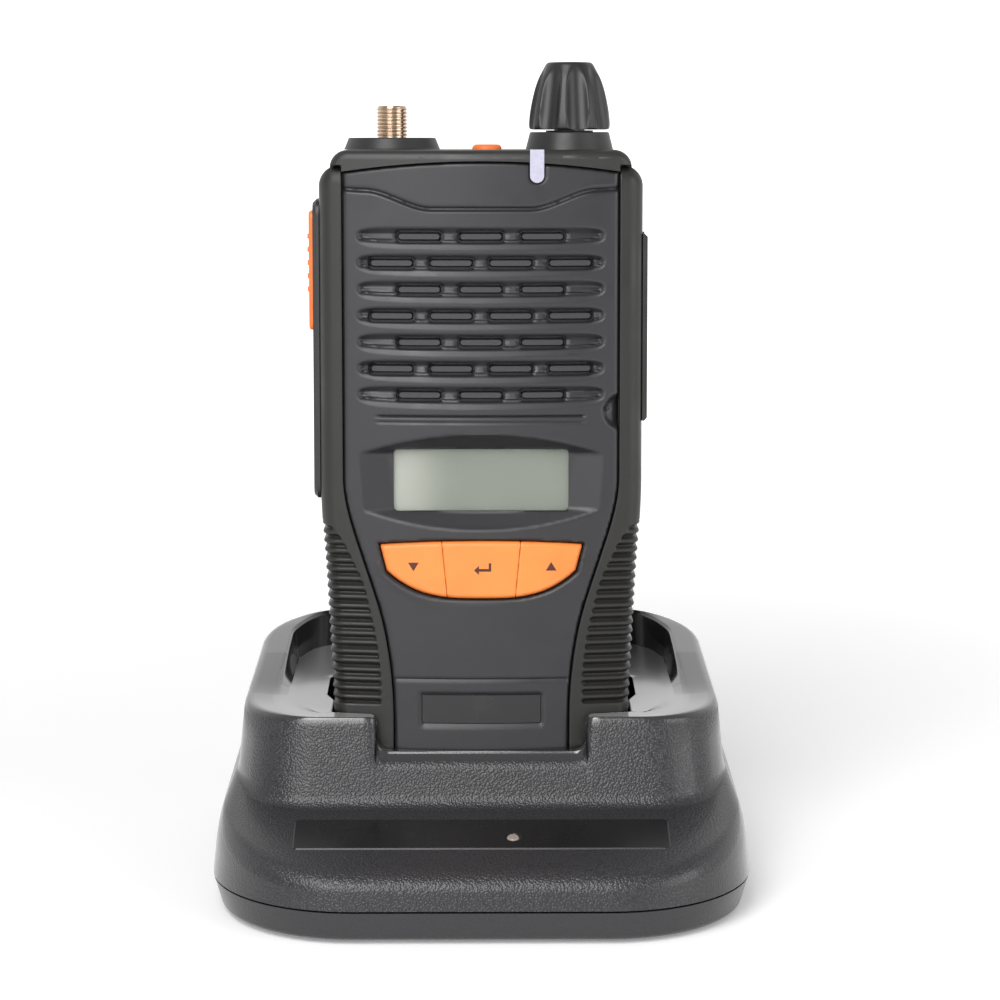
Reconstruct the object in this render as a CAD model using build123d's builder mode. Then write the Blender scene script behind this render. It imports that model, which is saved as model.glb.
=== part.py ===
"""Handheld two-way radio standing in its desktop charger, as separate pieces.

All lengths are in millimetres. +Z is up, the display faces -Y, and the origin is on the table under
the middle of the charger. The radio leans back in the charger, so its pieces are drawn on planes of its
own: x to the right, depth back from the front face, height up from the bottom end.
"""

from build123d import *
from math import cos, radians, sin, sqrt, tan
import os

os.makedirs("parts", exist_ok=True)

# ---- Charger, driving dimensions ----
FOOT_HEIGHT = 1.0
SEAM_LOW = 6.7
SEAM_HIGH = 7.1
BASE_HALF_X = 52.3
BASE_HALF_Y = 49.3
BASE_CORNER = 28.0
SHELL_WALL = 2.5
BASE_DRAFT = 8.0
LEDGE_BACK_Y = -21.5
LEDGE_BACK_Z = 19.8
LEDGE_SLOPE = 13.5
LEDGE_SIDE_SLOPE = 4.0
LEDGE_ROUND = 6.0
TRAY_Z = 36.0
TRAY_HALF_X = 38.4
TRAY_BACK_Y = 39.5
TRAY_CORNER = 9.0
RIM_START_Y = -9.0
RIM_SLOPE = 8.6
BLOCK_LOW_Z = 13.0
BLOCK_HIGH_Z = 50.0
BLOCK_HALF_X = 47.9
BLOCK_TAPER = 0.0425
BLOCK_FRONT_Y = -17.0
BLOCK_BACK_Y = 44.2
BLOCK_SIDE_DRAFT = 0.08
BLOCK_FRONT_DRAFT = 0.281
BLOCK_CORNER = 16.5
REACH = 70.0
NOTCH_HALF_X = 20.5
NOTCH_INNER_Y = -17.2
NOTCH_INNER_Z = 29.3
NOTCH_SLOPE = 45.0
GUIDE_X = 31.5
GUIDE_Y = 7.0
GUIDE_LENGTH = 21.0
PLATE_HALF_X = 36.0
PLATE_FRONT_Y = -38.2
PLATE_BACK_Y = -27.3
PLATE_THICK = 0.5
LED_X = 6.0
LED_Y = -34.0
LED_RADIUS = 1.2
BOARD_LOW = 9.2
BOARD_HIGH = 10.8
SCREW_X = 44.0
SCREW_Y = 16.0
FOOT_X = 37.0
FOOT_Y = 35.0
FOOT_RADIUS = 5.0
INLET_X = 24.0
INLET_Z = 12.8
PIN_HEAD = 1.2
PIN_FLANGE = 2.0
PIN_STEM = 0.7
POCKET_HALF = 29.9

# ---- Radio, driving dimensions ----
LEAN = 4.0
RADIO_Y = -16.75
RADIO_Z = 22.0
CROWN_RADIUS = 129.0
HEIGHT = 124.0
HALF_WIDTH = 31.4
WAIST_START = 60.0
GRIP_TOP = 121.0
GRIP_BACK = 21.0
GRIP_WALL = 2.2
GRIP_ROUND = 3.4
HOUSING_FRONT = 5.5
HOUSING_BACK = 23.0
HEAD_BACK = 31.0
HEAD_BOTTOM = 98.6
HOUSING_WALL = 2.0
COVER_THICK = 2.0
COVER_HALF = 26.7
COVER_BOTTOM = 0.6
COVER_TOP = 121.7
SEAM_GAP = 0.15
SLOT_LENGTH = 9.0
SLOT_HEIGHT = 2.1
ROW_PITCH = 5.1
ROW_TOP = 107.4
ROW_COUNT = 7
CHANNEL_DEPTH = 0.9
WINDOW_HALF_X = 17.0
WINDOW_LOW = 54.1
WINDOW_HIGH = 66.1
WINDOW_DEPTH = 3.2
KEY_PROUD = 0.35
KEY_BACK = 4.6
KEY_TRAVEL = 0.6
LABEL_HALF_X = 11.7
LABEL_LOW = 12.4
LABEL_HIGH = 18.2
PCB_FRONT = 12.0
PCB_BACK = 13.2
PCB_TOP = 101.5
SPEAKER_Z = 92.0
SPEAKER_RADIUS = 18.0
TOP_X = 17.4
TOP_DEPTH = 16.0
BUTTON_X = 1.2
ANTENNA_RADIUS = 3.175
SHANK_RADIUS = 3.5
ANTENNA_TOP = 132.5
COLLAR_TOP = 126.3
KNOB_COLLAR_TOP = 127.4
KNOB_LOW = 127.8
KNOB_HIGH = 141.0
KNOB_LOBES = 8
FLUTE_LOW = 9.9
FLUTE_LOW_RADIUS = 2.8
FLUTE_HIGH = 6.9
FLUTE_HIGH_RADIUS = 2.3
SHAFT_RADIUS = 3.0
SHAFT_TOP = 138.0
RUNNING = 0.06
PTT_LOW = 89.0
PTT_HIGH = 112.2
BEZEL_X = 32.7
BEZEL_LOW = 56.0
BEZEL_HIGH = 114.5
SIDE_KEYS = {"side_key_upper": (72.0, 79.0), "side_key_lower": (58.0, 69.0)}
SIDE_DEPTH = 12.0
JACK_LOW = 71.4
JACK_HIGH = 107.8
JACK_HINGE_X = 31.6
JACK_HINGE_DEPTH = 18.9
EARPHONE_Z = 95.5
MICROPHONE_Z = 84.0
SOCKET_DEPTH = 8.6
TOP_BUTTON_DEPTH = 14.0
PIPE_X = 10.8
PIPE_HALF = 1.35
PIPE_LOW = 119.05
PIPE_BACK = 2.4
LATCH_LOW = 100.0
LATCH_HIGH = 107.0
LATCH_HALF = 8.0
TONGUE_HALF = 3.0
BATTERY_PLATES = [(-6.0, 14.0), (0.0, 14.0), (6.0, 14.0)]
CASE_SCREWS_LOW = [(-12.8, 5.0), (12.8, 5.0)]
CASE_SCREWS_HIGH = [(-22.4, 104.5), (22.4, 104.5)]
BATTERY_FRONT = 23.1
BATTERY_BACK = 37.0
BATTERY_TOP = 98.2
BATTERY_HALF = 28.0
CONTACT_X = 9.0
CONTACT_DEPTH = 30.0
CONTACT_GAP = 0.05
CLIP_PIVOT_Z = 84.0
CLIP_PIVOT_DEPTH = 42.2
CLIP_INNER = 43.0
CLIP_THICK = 1.6
LATCH_TRAVEL = 3.0

# ---- Planes of the leaning radio ----
UP = Vector(0, sin(radians(LEAN)), cos(radians(LEAN)))
BACK = Vector(0, cos(radians(LEAN)), -sin(radians(LEAN)))
RADIO_BASE = Vector(0, RADIO_Y, RADIO_Z)
LENGTH_AXIS = Axis((0, 0, 0), UP)
DEPTH_AXIS = Axis((0, 0, 0), BACK)


def across(height):
    """Plane square to the radio's length: x to the right, y is depth, extrude goes up."""
    return Plane(origin=RADIO_BASE + UP * height, x_dir=(1, 0, 0), z_dir=UP)


def facing(depth):
    """Plane parallel to the radio's face: x to the right, y is height, extrude comes forward."""
    return Plane(origin=RADIO_BASE + BACK * depth, x_dir=(1, 0, 0), z_dir=BACK * -1)


def sideways(x):
    """Plane across the radio's width: x is depth, y is height, extrude goes to the right."""
    return Plane(origin=RADIO_BASE + Vector(x, 0, 0), x_dir=BACK, z_dir=(1, 0, 0))


def crown(x):
    """Depth of the bowed front face at x."""
    return CROWN_RADIUS - sqrt(CROWN_RADIUS**2 - x**2)


def bowed_slab(half, front, back, low, high):
    """Slab that follows the bowed front face, between two depths below it."""
    with BuildPart() as slab:
        with BuildSketch(across(low)):
            with BuildLine():
                edge = crown(half)
                ThreePointArc((-half, edge + front), (0, front), (half, edge + front))
                Line((half, edge + front), (half, edge + back))
                ThreePointArc((half, edge + back), (0, back), (-half, edge + back))
                Line((-half, edge + back), (-half, edge + front))
            make_face()
        extrude(amount=high - low)
    return slab.part


def cover_outline(inset):
    """Face with the outline of the front cover, x across and y up."""
    half = COVER_HALF - inset
    waist = WAIST_START + 0.4
    low = COVER_BOTTOM + inset
    with BuildSketch() as outline:
        with BuildLine():
            ThreePointArc((-half, 119.7 - inset), (0, COVER_TOP - inset), (half, 119.7 - inset))
            Line((half, 119.7 - inset), (half, waist))
            Spline(
                (half, waist),
                (22.9 - inset, 44.5),
                (18.6 - inset, 30.0),
                (17.0 - inset, 13.2),
                tangents=[(0, -1), (0, -1)],
            )
            Line((17.0 - inset, 13.2), (17.0 - inset, low))
            Line((17.0 - inset, low), (inset - 17.0, low))
            Line((inset - 17.0, low), (inset - 17.0, 13.2))
            Spline(
                (inset - 17.0, 13.2),
                (inset - 18.6, 30.0),
                (inset - 22.9, 44.5),
                (-half, waist),
                tangents=[(0, 1), (0, 1)],
            )
            Line((-half, waist), (-half, 119.7 - inset))
        make_face()
    return outline.sketch


def body_outline(inset, top, top_round):
    """Face with the front outline of the radio's body, which narrows in its lower half."""
    half = HALF_WIDTH - inset
    with BuildSketch() as outline:
        with BuildLine():
            Line((top_round - half, top), (half - top_round, top))
            JernArc((half - top_round, top), (1, 0), top_round, -90)
            Line((half, top - top_round), (half, WAIST_START))
            Spline(
                (half, WAIST_START),
                (30.4 - inset, 42.0),
                (29.2 - inset, 18.0),
                (28.4 - inset, 0.0),
                tangents=[(0, -1), (-0.05, -1)],
            )
            Line((28.4 - inset, 0.0), (inset - 28.4, 0.0))
            Spline(
                (inset - 28.4, 0.0),
                (inset - 29.2, 18.0),
                (inset - 30.4, 42.0),
                (-half, WAIST_START),
                tangents=[(-0.05, 1), (0, 1)],
            )
            Line((-half, WAIST_START), (-half, top - top_round))
            JernArc((-half, top - top_round), (0, 1), top_round, -90)
        make_face()
    return outline.sketch


def key_cluster(grow):
    """Face with the outline of the three front keys together."""
    with BuildSketch() as outline:
        with BuildLine():
            ThreePointArc((-19.7 - grow, 47.6 + grow), (0, 48.4 + grow), (19.7 + grow, 47.6 + grow))
            Line((19.7 + grow, 47.6 + grow), (18.4 + grow, 42.6))
            Spline(
                (18.4 + grow, 42.6),
                (16.0 + grow, 39.3 - grow),
                (11.5, 37.9 - grow),
                (0, 37.2 - grow),
                (-11.5, 37.9 - grow),
                (-16.0 - grow, 39.3 - grow),
                (-18.4 - grow, 42.6),
            )
            Line((-18.4 - grow, 42.6), (-19.7 - grow, 47.6 + grow))
        make_face()
    return outline.sketch


def finish(piece, name):
    """Label a piece and write it as its own file."""
    piece.part.label = name
    export_step(piece.part, f"parts/{name}.step")


# ==================== Charger ====================

SCREW_PLACES = [(x, y) for x in (-SCREW_X, SCREW_X) for y in (-SCREW_Y, SCREW_Y)]
FOOT_PLACES = [(x, y) for x in (-FOOT_X, FOOT_X) for y in (-FOOT_Y, FOOT_Y)]
TRAY_FRONT_Y = BLOCK_FRONT_Y - 20
TRAY_LENGTH = TRAY_BACK_Y - TRAY_FRONT_Y
TRAY_MIDDLE_Y = (TRAY_BACK_Y + TRAY_FRONT_Y) / 2
PLATE_LENGTH = (PLATE_BACK_Y - PLATE_FRONT_Y) / cos(radians(LEDGE_SLOPE))
PLATE_MIDDLE_Y = (PLATE_BACK_Y + PLATE_FRONT_Y) / 2
LED_OFFSET = (LED_Y - PLATE_MIDDLE_Y) / cos(radians(LEDGE_SLOPE))
LEDGE_PLANE = Plane(
    origin=(0, PLATE_MIDDLE_Y, LEDGE_BACK_Z + (PLATE_MIDDLE_Y - LEDGE_BACK_Y) * tan(radians(LEDGE_SLOPE))),
    x_dir=(1, 0, 0),
    z_dir=(0, -sin(radians(LEDGE_SLOPE)), cos(radians(LEDGE_SLOPE))),
)


def ledge_height(y):
    """Height of the sloped front ledge at y."""
    return LEDGE_BACK_Z + (y - LEDGE_BACK_Y) * tan(radians(LEDGE_SLOPE))


def block_half(y, z):
    """Half width of the upper block, which narrows to the back and upwards."""
    return BLOCK_HALF_X - (y - BLOCK_FRONT_Y) * BLOCK_TAPER - (z - TRAY_Z) * BLOCK_SIDE_DRAFT


def block_front(z):
    """Front of the upper block at a height."""
    return BLOCK_FRONT_Y + (z - TRAY_Z) * BLOCK_FRONT_DRAFT


def block_back(z):
    """Back of the upper block at a height."""
    return BLOCK_BACK_Y - (z - TRAY_Z) * BLOCK_SIDE_DRAFT


def side_height(y):
    """Height of the ledge along the charger's sides at y."""
    return LEDGE_BACK_Z + (y - LEDGE_BACK_Y) * tan(radians(LEDGE_SIDE_SLOPE))


def above(line, ease):
    """Solid over a bent line, given as (y, z) points from front to back, with its bends eased."""
    top = 90
    with BuildPart() as over:
        with BuildSketch(Plane.YZ):
            with BuildLine():
                FilletPolyline(*line, radius=ease)
                Line(line[-1], (REACH, top))
                Line((REACH, top), (-REACH, top))
                Line((-REACH, top), line[0])
            make_face()
        extrude(amount=80, both=True)
    return over.part


def is_ledge_edge(edge):
    """True for an edge where the ledge meets the outer walls: high, level, long and far out."""
    middle = edge.center()
    level = abs(edge.tangent_at(0.5).Z) < 0.9
    outside = max(abs(middle.X) / BASE_HALF_X, abs(middle.Y) / BASE_HALF_Y) > 0.6
    return middle.Z > SEAM_HIGH + 2 and level and outside and edge.length > 4


def charger_form(inset, low, roof, drop):
    """Solid form of the charger's upper shell, shrunk by inset, with its roof lowered by drop."""
    ledge_line = [
        (-REACH, ledge_height(-REACH) - drop),
        (LEDGE_BACK_Y, LEDGE_BACK_Z - drop),
        (REACH, side_height(REACH) - drop),
    ]
    rim_line = [
        (-REACH, roof),
        (RIM_START_Y, roof),
        (REACH, roof + (REACH - RIM_START_Y) * tan(radians(RIM_SLOPE))),
    ]
    with BuildPart() as lower:
        with BuildSketch(Plane.XY.offset(low)):
            RectangleRounded(2 * (BASE_HALF_X - inset), 2 * (BASE_HALF_Y - inset), BASE_CORNER - inset)
        extrude(amount=TRAY_Z - low, taper=BASE_DRAFT)
        add(above(ledge_line, 60), mode=Mode.SUBTRACT)
        if inset == 0:
            fillet([edge for edge in lower.edges() if is_ledge_edge(edge)], LEDGE_ROUND)
    with BuildPart() as upper:
        for z in (BLOCK_LOW_Z, BLOCK_HIGH_Z):
            front, back = block_front(z) + inset, block_back(z) - inset
            with BuildSketch(Plane.XY.offset(z)) as outline:
                Polygon(
                    (inset - block_half(front, z), front),
                    (block_half(front, z) - inset, front),
                    (block_half(back, z) - inset, back),
                    (inset - block_half(back, z), back),
                    align=None,
                )
                fillet(outline.vertices(), BLOCK_CORNER - inset)
        loft(ruled=True)
        add(above(rim_line, 30), mode=Mode.SUBTRACT)
    with BuildPart() as form:
        add(lower.part)
        add(upper.part)
    return form.part


# Room inside the upper shell, which stays below the tray's floor and clear of the tray's walls.
with BuildPart() as charger_hollow:
    add(charger_form(SHELL_WALL, SEAM_HIGH - 1, TRAY_Z - SHELL_WALL, SHELL_WALL))
    with BuildSketch(Plane.XY.offset(TRAY_Z - SHELL_WALL)):
        with Locations((0, TRAY_MIDDLE_Y)):
            RectangleRounded(2 * (TRAY_HALF_X + SHELL_WALL), TRAY_LENGTH + 2 * SHELL_WALL, TRAY_CORNER)
    extrude(amount=30, mode=Mode.SUBTRACT)

# The upper shell: sloped ledge in front, raised block with a tray behind, and the radio's pocket.
with BuildPart() as charger_top_shell:
    add(charger_form(0, SEAM_HIGH, TRAY_Z + 0.2, 0))
    add(charger_hollow.part, mode=Mode.SUBTRACT)
    # bosses for the four base screws
    for x, y in SCREW_PLACES:
        with BuildSketch(Plane.XY.offset(SEAM_HIGH)):
            with Locations((x, y)):
                Circle(3.2)
        extrude(amount=side_height(y) - SEAM_HIGH - SHELL_WALL / 2)
    # tray floor sunk inside the rim
    with BuildSketch(Plane.XY.offset(TRAY_Z)):
        with Locations((0, TRAY_MIDDLE_Y)):
            RectangleRounded(2 * TRAY_HALF_X, TRAY_LENGTH, TRAY_CORNER)
    extrude(amount=30, taper=-6, mode=Mode.SUBTRACT)
    # tube that surrounds the radio's lower end
    with BuildSketch(across(-SHELL_WALL)):
        with Locations((0, 19.0)):
            RectangleRounded(2 * POCKET_HALF + 4.4, 41.6, 4)
    extrude(amount=SHELL_WALL + 12.0)
    with BuildSketch(Plane.XY.offset(22.5)):
        with Locations((GUIDE_X - 1.8, GUIDE_Y), (1.8 - GUIDE_X, GUIDE_Y)):
            RectangleRounded(8.0, GUIDE_LENGTH + 4, 3)
    extrude(amount=TRAY_Z - 22.5)
    with BuildSketch(across(0)):
        with BuildLine():
            edge = crown(POCKET_HALF)
            ThreePointArc((-POCKET_HALF, edge - 0.7), (0, -0.7), (POCKET_HALF, edge - 0.7))
            Line((POCKET_HALF, edge - 0.7), (POCKET_HALF, BATTERY_BACK + 0.8))
            Line((POCKET_HALF, BATTERY_BACK + 0.8), (-POCKET_HALF, BATTERY_BACK + 0.8))
            Line((-POCKET_HALF, BATTERY_BACK + 0.8), (-POCKET_HALF, edge - 0.7))
        make_face()
    extrude(amount=30, mode=Mode.SUBTRACT)
    # half-round guide recesses beside the pocket
    with BuildSketch(Plane.XY.offset(24.5)):
        with Locations((GUIDE_X - 4, GUIDE_Y), (4 - GUIDE_X, GUIDE_Y)):
            RectangleRounded(8.0, GUIDE_LENGTH, 2.6)
    extrude(amount=20, mode=Mode.SUBTRACT)
    # notch in the front wall with its sill falling forwards
    with BuildSketch(Plane.YZ):
        Polygon(
            (NOTCH_INNER_Y - 10, NOTCH_INNER_Z - 10 * tan(radians(NOTCH_SLOPE))),
            (NOTCH_INNER_Y, NOTCH_INNER_Z),
            (NOTCH_INNER_Y + 4, NOTCH_INNER_Z),
            (NOTCH_INNER_Y + 4, 60),
            (NOTCH_INNER_Y - 10, 60),
            align=None,
        )
    extrude(amount=NOTCH_HALF_X, both=True, mode=Mode.SUBTRACT)
    # windows in the pocket floor for the contact block
    with BuildSketch(across(-10)):
        with Locations((-CONTACT_X, CONTACT_DEPTH), (CONTACT_X, CONTACT_DEPTH)):
            Circle(1.4)
    extrude(amount=12, mode=Mode.SUBTRACT)
    # shallow bed for the label plate and the hole for the lamp's lens
    with BuildSketch(LEDGE_PLANE):
        Rectangle(2 * PLATE_HALF_X + 0.2, PLATE_LENGTH + 0.2)
    extrude(amount=-PLATE_THICK - 0.02, mode=Mode.SUBTRACT)
    with BuildSketch(LEDGE_PLANE):
        with Locations((LED_X, LED_OFFSET)):
            Circle(LED_RADIUS + 0.05)
    extrude(amount=-6, mode=Mode.SUBTRACT)
    # power inlet hole in the back wall
    with BuildSketch(Plane.XZ.offset(-BASE_HALF_Y)):
        with Locations((INLET_X, INLET_Z)):
            Circle(4.1)
    extrude(amount=6, mode=Mode.SUBTRACT)
    # pilot holes in the bosses
    with BuildSketch(Plane.XY.offset(SEAM_HIGH)):
        with Locations(*SCREW_PLACES):
            Circle(1.5)
    extrude(amount=7.5, mode=Mode.SUBTRACT)
finish(charger_top_shell, "charger_top_shell")

# The base shell: a shallow tray with rounded lower edges that closes the charger from below.
with BuildPart() as charger_base_shell:
    with BuildSketch(Plane.XY.offset(SEAM_LOW)):
        RectangleRounded(2 * BASE_HALF_X - 0.2, 2 * BASE_HALF_Y - 0.2, BASE_CORNER)
    extrude(amount=FOOT_HEIGHT - 0.2 - SEAM_LOW, taper=16)
    fillet(charger_base_shell.faces().sort_by(Axis.Z)[0].edges(), 1.4)
    with BuildSketch(Plane.XY.offset(SEAM_LOW)):
        RectangleRounded(2 * BASE_HALF_X - 5.2, 2 * BASE_HALF_Y - 5.2, BASE_CORNER - 2.5)
    extrude(amount=-(SEAM_LOW - FOOT_HEIGHT - 1.8), taper=16, mode=Mode.SUBTRACT)
    with BuildSketch(Plane.XY.offset(FOOT_HEIGHT + 1)):
        with Locations(*SCREW_PLACES):
            Circle(3.4)
    extrude(amount=SEAM_HIGH - FOOT_HEIGHT - 1.02)
    with BuildSketch(Plane.XY.offset(0)):
        with Locations(*SCREW_PLACES):
            Circle(1.7)
    extrude(amount=10, mode=Mode.SUBTRACT)
    with BuildSketch(Plane.XY.offset(0)):
        with Locations(*SCREW_PLACES):
            Circle(3.0)
    extrude(amount=2.6, mode=Mode.SUBTRACT)
    with BuildSketch(Plane.XY.offset(0)):
        with Locations(*FOOT_PLACES):
            Circle(FOOT_RADIUS + 0.1)
    extrude(amount=FOOT_HEIGHT + 0.3, mode=Mode.SUBTRACT)
finish(charger_base_shell, "charger_base_shell")

with BuildPart() as charger_feet:
    with BuildSketch(Plane.XY):
        with Locations(*FOOT_PLACES):
            Circle(FOOT_RADIUS)
    extrude(amount=FOOT_HEIGHT + 0.3)
    chamfer(charger_feet.edges().group_by(Axis.Z)[0], 0.3)
finish(charger_feet, "charger_feet")

with BuildPart() as charger_screws:
    with BuildSketch(Plane.XY.offset(1.0)):
        with Locations(*SCREW_PLACES):
            Circle(2.8)
    extrude(amount=1.6)
    with BuildSketch(Plane.XY.offset(2.6)):
        with Locations(*SCREW_PLACES):
            Circle(1.5)
    extrude(amount=11)
    with BuildSketch(Plane.XY.offset(1.0)):
        with Locations(*SCREW_PLACES):
            Rectangle(3.4, 0.7)
            Rectangle(0.7, 3.4)
    extrude(amount=0.9, mode=Mode.SUBTRACT)
finish(charger_screws, "charger_screws")

with BuildPart() as charger_label_plate:
    with BuildSketch(LEDGE_PLANE):
        Rectangle(2 * PLATE_HALF_X, PLATE_LENGTH)
        with Locations((LED_X, LED_OFFSET)):
            Circle(LED_RADIUS + 0.05, mode=Mode.SUBTRACT)
    extrude(amount=-PLATE_THICK)
finish(charger_label_plate, "charger_label_plate")

with BuildPart() as charge_led_lens:
    with BuildSketch(LEDGE_PLANE.offset(0.25)):
        with Locations((LED_X, LED_OFFSET)):
            Circle(LED_RADIUS)
    extrude(amount=-5.0)
    fillet(charge_led_lens.faces().sort_by(Axis.Z)[-1].edges(), 0.4)
finish(charge_led_lens, "charge_led_lens")

with BuildPart() as charger_circuit_board:
    with BuildSketch(Plane.XY.offset(BOARD_LOW)):
        with Locations((0, -1)):
            Rectangle(70, 74)
    extrude(amount=BOARD_HIGH - BOARD_LOW)
    # power parts standing on the board: two capacitors, a chip and a coil
    with BuildSketch(Plane.XY.offset(BOARD_HIGH)):
        with Locations((-24, 28), (-24, -24)):
            Circle(3.0)
    extrude(amount=4.0)
    with BuildSketch(Plane.XY.offset(BOARD_HIGH)):
        with Locations((8, 26)):
            Rectangle(9, 6)
        with Locations((-8, 28)):
            RectangleRounded(8, 8, 1)
    extrude(amount=2.2)
finish(charger_circuit_board, "charger_circuit_board")

with BuildPart() as contact_block:
    with BuildSketch(across(-SHELL_WALL - 0.02)):
        with Locations((0, CONTACT_DEPTH)):
            RectangleRounded(2 * CONTACT_X + 9, 7, 1.5)
    extrude(amount=-4.2)
    with BuildSketch(across(-SHELL_WALL - 0.02)):
        with Locations((-CONTACT_X, CONTACT_DEPTH), (CONTACT_X, CONTACT_DEPTH)):
            Circle(PIN_FLANGE + 0.2)
    extrude(amount=-3.6, mode=Mode.SUBTRACT)
    with BuildSketch(across(-SHELL_WALL - 0.02)):
        with Locations((-CONTACT_X, CONTACT_DEPTH), (CONTACT_X, CONTACT_DEPTH)):
            Circle(PIN_STEM + 0.15)
    extrude(amount=-4.6, mode=Mode.SUBTRACT)
finish(contact_block, "contact_block")

for name, side in (("left", -1), ("right", 1)):
    with BuildPart() as charge_pin:
        with BuildSketch(across(-SHELL_WALL - 0.1)):
            with Locations((side * CONTACT_X, CONTACT_DEPTH)):
                Circle(PIN_FLANGE)
        extrude(amount=-0.8)
        with BuildSketch(across(-SHELL_WALL - 0.1)):
            with Locations((side * CONTACT_X, CONTACT_DEPTH)):
                Circle(PIN_HEAD)
        extrude(amount=SHELL_WALL + 0.1 - CONTACT_GAP)
        with BuildSketch(across(-SHELL_WALL - 0.9)):
            with Locations((side * CONTACT_X, CONTACT_DEPTH)):
                Circle(PIN_STEM)
        extrude(amount=-3.6)
    finish(charge_pin, f"charge_pin_{name}")
    # spring under the pin's flange, drawn as the sleeve that its coils fill
    with BuildPart() as pin_spring:
        with BuildSketch(across(-SHELL_WALL - 0.95)):
            with Locations((side * CONTACT_X, CONTACT_DEPTH)):
                Circle(PIN_FLANGE)
                Circle(PIN_STEM + 0.1, mode=Mode.SUBTRACT)
        extrude(amount=-2.6)
    finish(pin_spring, f"pin_spring_{name}")

with BuildPart() as dc_inlet:
    with BuildSketch(Plane.XZ.offset(-45.0)):
        with Locations((INLET_X, INLET_Z)):
            Rectangle(9.4, 8.6)
    extrude(amount=9.0)
    with BuildSketch(Plane.XZ.offset(-47.9)):
        with Locations((INLET_X, INLET_Z)):
            Circle(4.0)
    extrude(amount=3.0)
    with BuildSketch(Plane.XZ.offset(-47.9)):
        with Locations((INLET_X, INLET_Z)):
            Circle(2.8)
            Circle(1.05, mode=Mode.SUBTRACT)
    extrude(amount=9.2, mode=Mode.SUBTRACT)
finish(dc_inlet, "dc_inlet")

# ==================== Radio: casing ====================

# Outer form shared by the two side grips: bowed front, rounded long edges.
with BuildPart() as body_form:
    add(bowed_slab(34, 0, 24, -1, HEIGHT))
    with BuildSketch(facing(-1)):
        add(body_outline(0, GRIP_TOP, 4.0))
    extrude(amount=-1 - GRIP_BACK, mode=Mode.INTERSECT)
    front_face = body_form.faces().filter_by(GeomType.CYLINDER).sort_by(SortBy.AREA)[-1]
    fillet(front_face.edges().sort_by(LENGTH_AXIS)[1:], GRIP_ROUND)

with BuildPart() as grip_inside:
    with BuildSketch(facing(HOUSING_FRONT - 0.05)):
        add(body_outline(GRIP_WALL - 0.05, HEIGHT, 3.5))
    extrude(amount=-30)
    with BuildSketch(facing(-2)):
        add(cover_outline(-SEAM_GAP))
        with Locations((0, HEIGHT)):
            Rectangle(2 * (COVER_HALF + SEAM_GAP), 40)
    extrude(amount=-9)

SIDE_OPENINGS = [(PTT_LOW, PTT_HIGH), *SIDE_KEYS.values()]

for name, keep in (("left", Keep.BOTTOM), ("right", Keep.TOP)):
    with BuildPart() as side_grip:
        add(body_form.part)
        add(grip_inside.part, mode=Mode.SUBTRACT)
        split(bisect_by=Plane.YZ, keep=keep)
        if name == "left":
            # windows for the push-to-talk button and the two side keys
            for low, high in SIDE_OPENINGS:
                with BuildSketch(sideways(-HALF_WIDTH - 1)):
                    with Locations((SIDE_DEPTH, (low + high) / 2)):
                        RectangleRounded(8.0, high - low + 0.4, 1.5)
                extrude(amount=5, mode=Mode.SUBTRACT)
        else:
            # sockets behind the flap, and the groove in which the flap's hinge turns
            with BuildSketch(sideways(HALF_WIDTH + 1)):
                with Locations((SOCKET_DEPTH, EARPHONE_Z)):
                    Circle(3.05)
                with Locations((SOCKET_DEPTH, MICROPHONE_Z)):
                    Circle(2.45)
            extrude(amount=-14, mode=Mode.SUBTRACT)
            with BuildSketch(across(JACK_LOW - 0.2)):
                with Locations((JACK_HINGE_X, JACK_HINGE_DEPTH)):
                    Circle(1.1)
            extrude(amount=JACK_HIGH - JACK_LOW + 0.4, mode=Mode.SUBTRACT)
    finish(side_grip, f"side_grip_{name}")

with BuildPart() as housing_cap:
    add(bowed_slab(HALF_WIDTH - GRIP_WALL, 0, HOUSING_FRONT, 112, HEIGHT))
    with BuildSketch(facing(-1)):
        add(body_outline(GRIP_WALL, HEIGHT, 3.5))
    extrude(amount=-12, mode=Mode.INTERSECT)
    with BuildSketch(facing(-1)):
        with Locations((0, GRIP_TOP + SEAM_GAP - 20)):
            Rectangle(80, 40)
            Rectangle(2 * (COVER_HALF + SEAM_GAP), 40, mode=Mode.SUBTRACT)
        add(cover_outline(-SEAM_GAP))
    extrude(amount=-1 - HOUSING_FRONT, mode=Mode.SUBTRACT)

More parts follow.
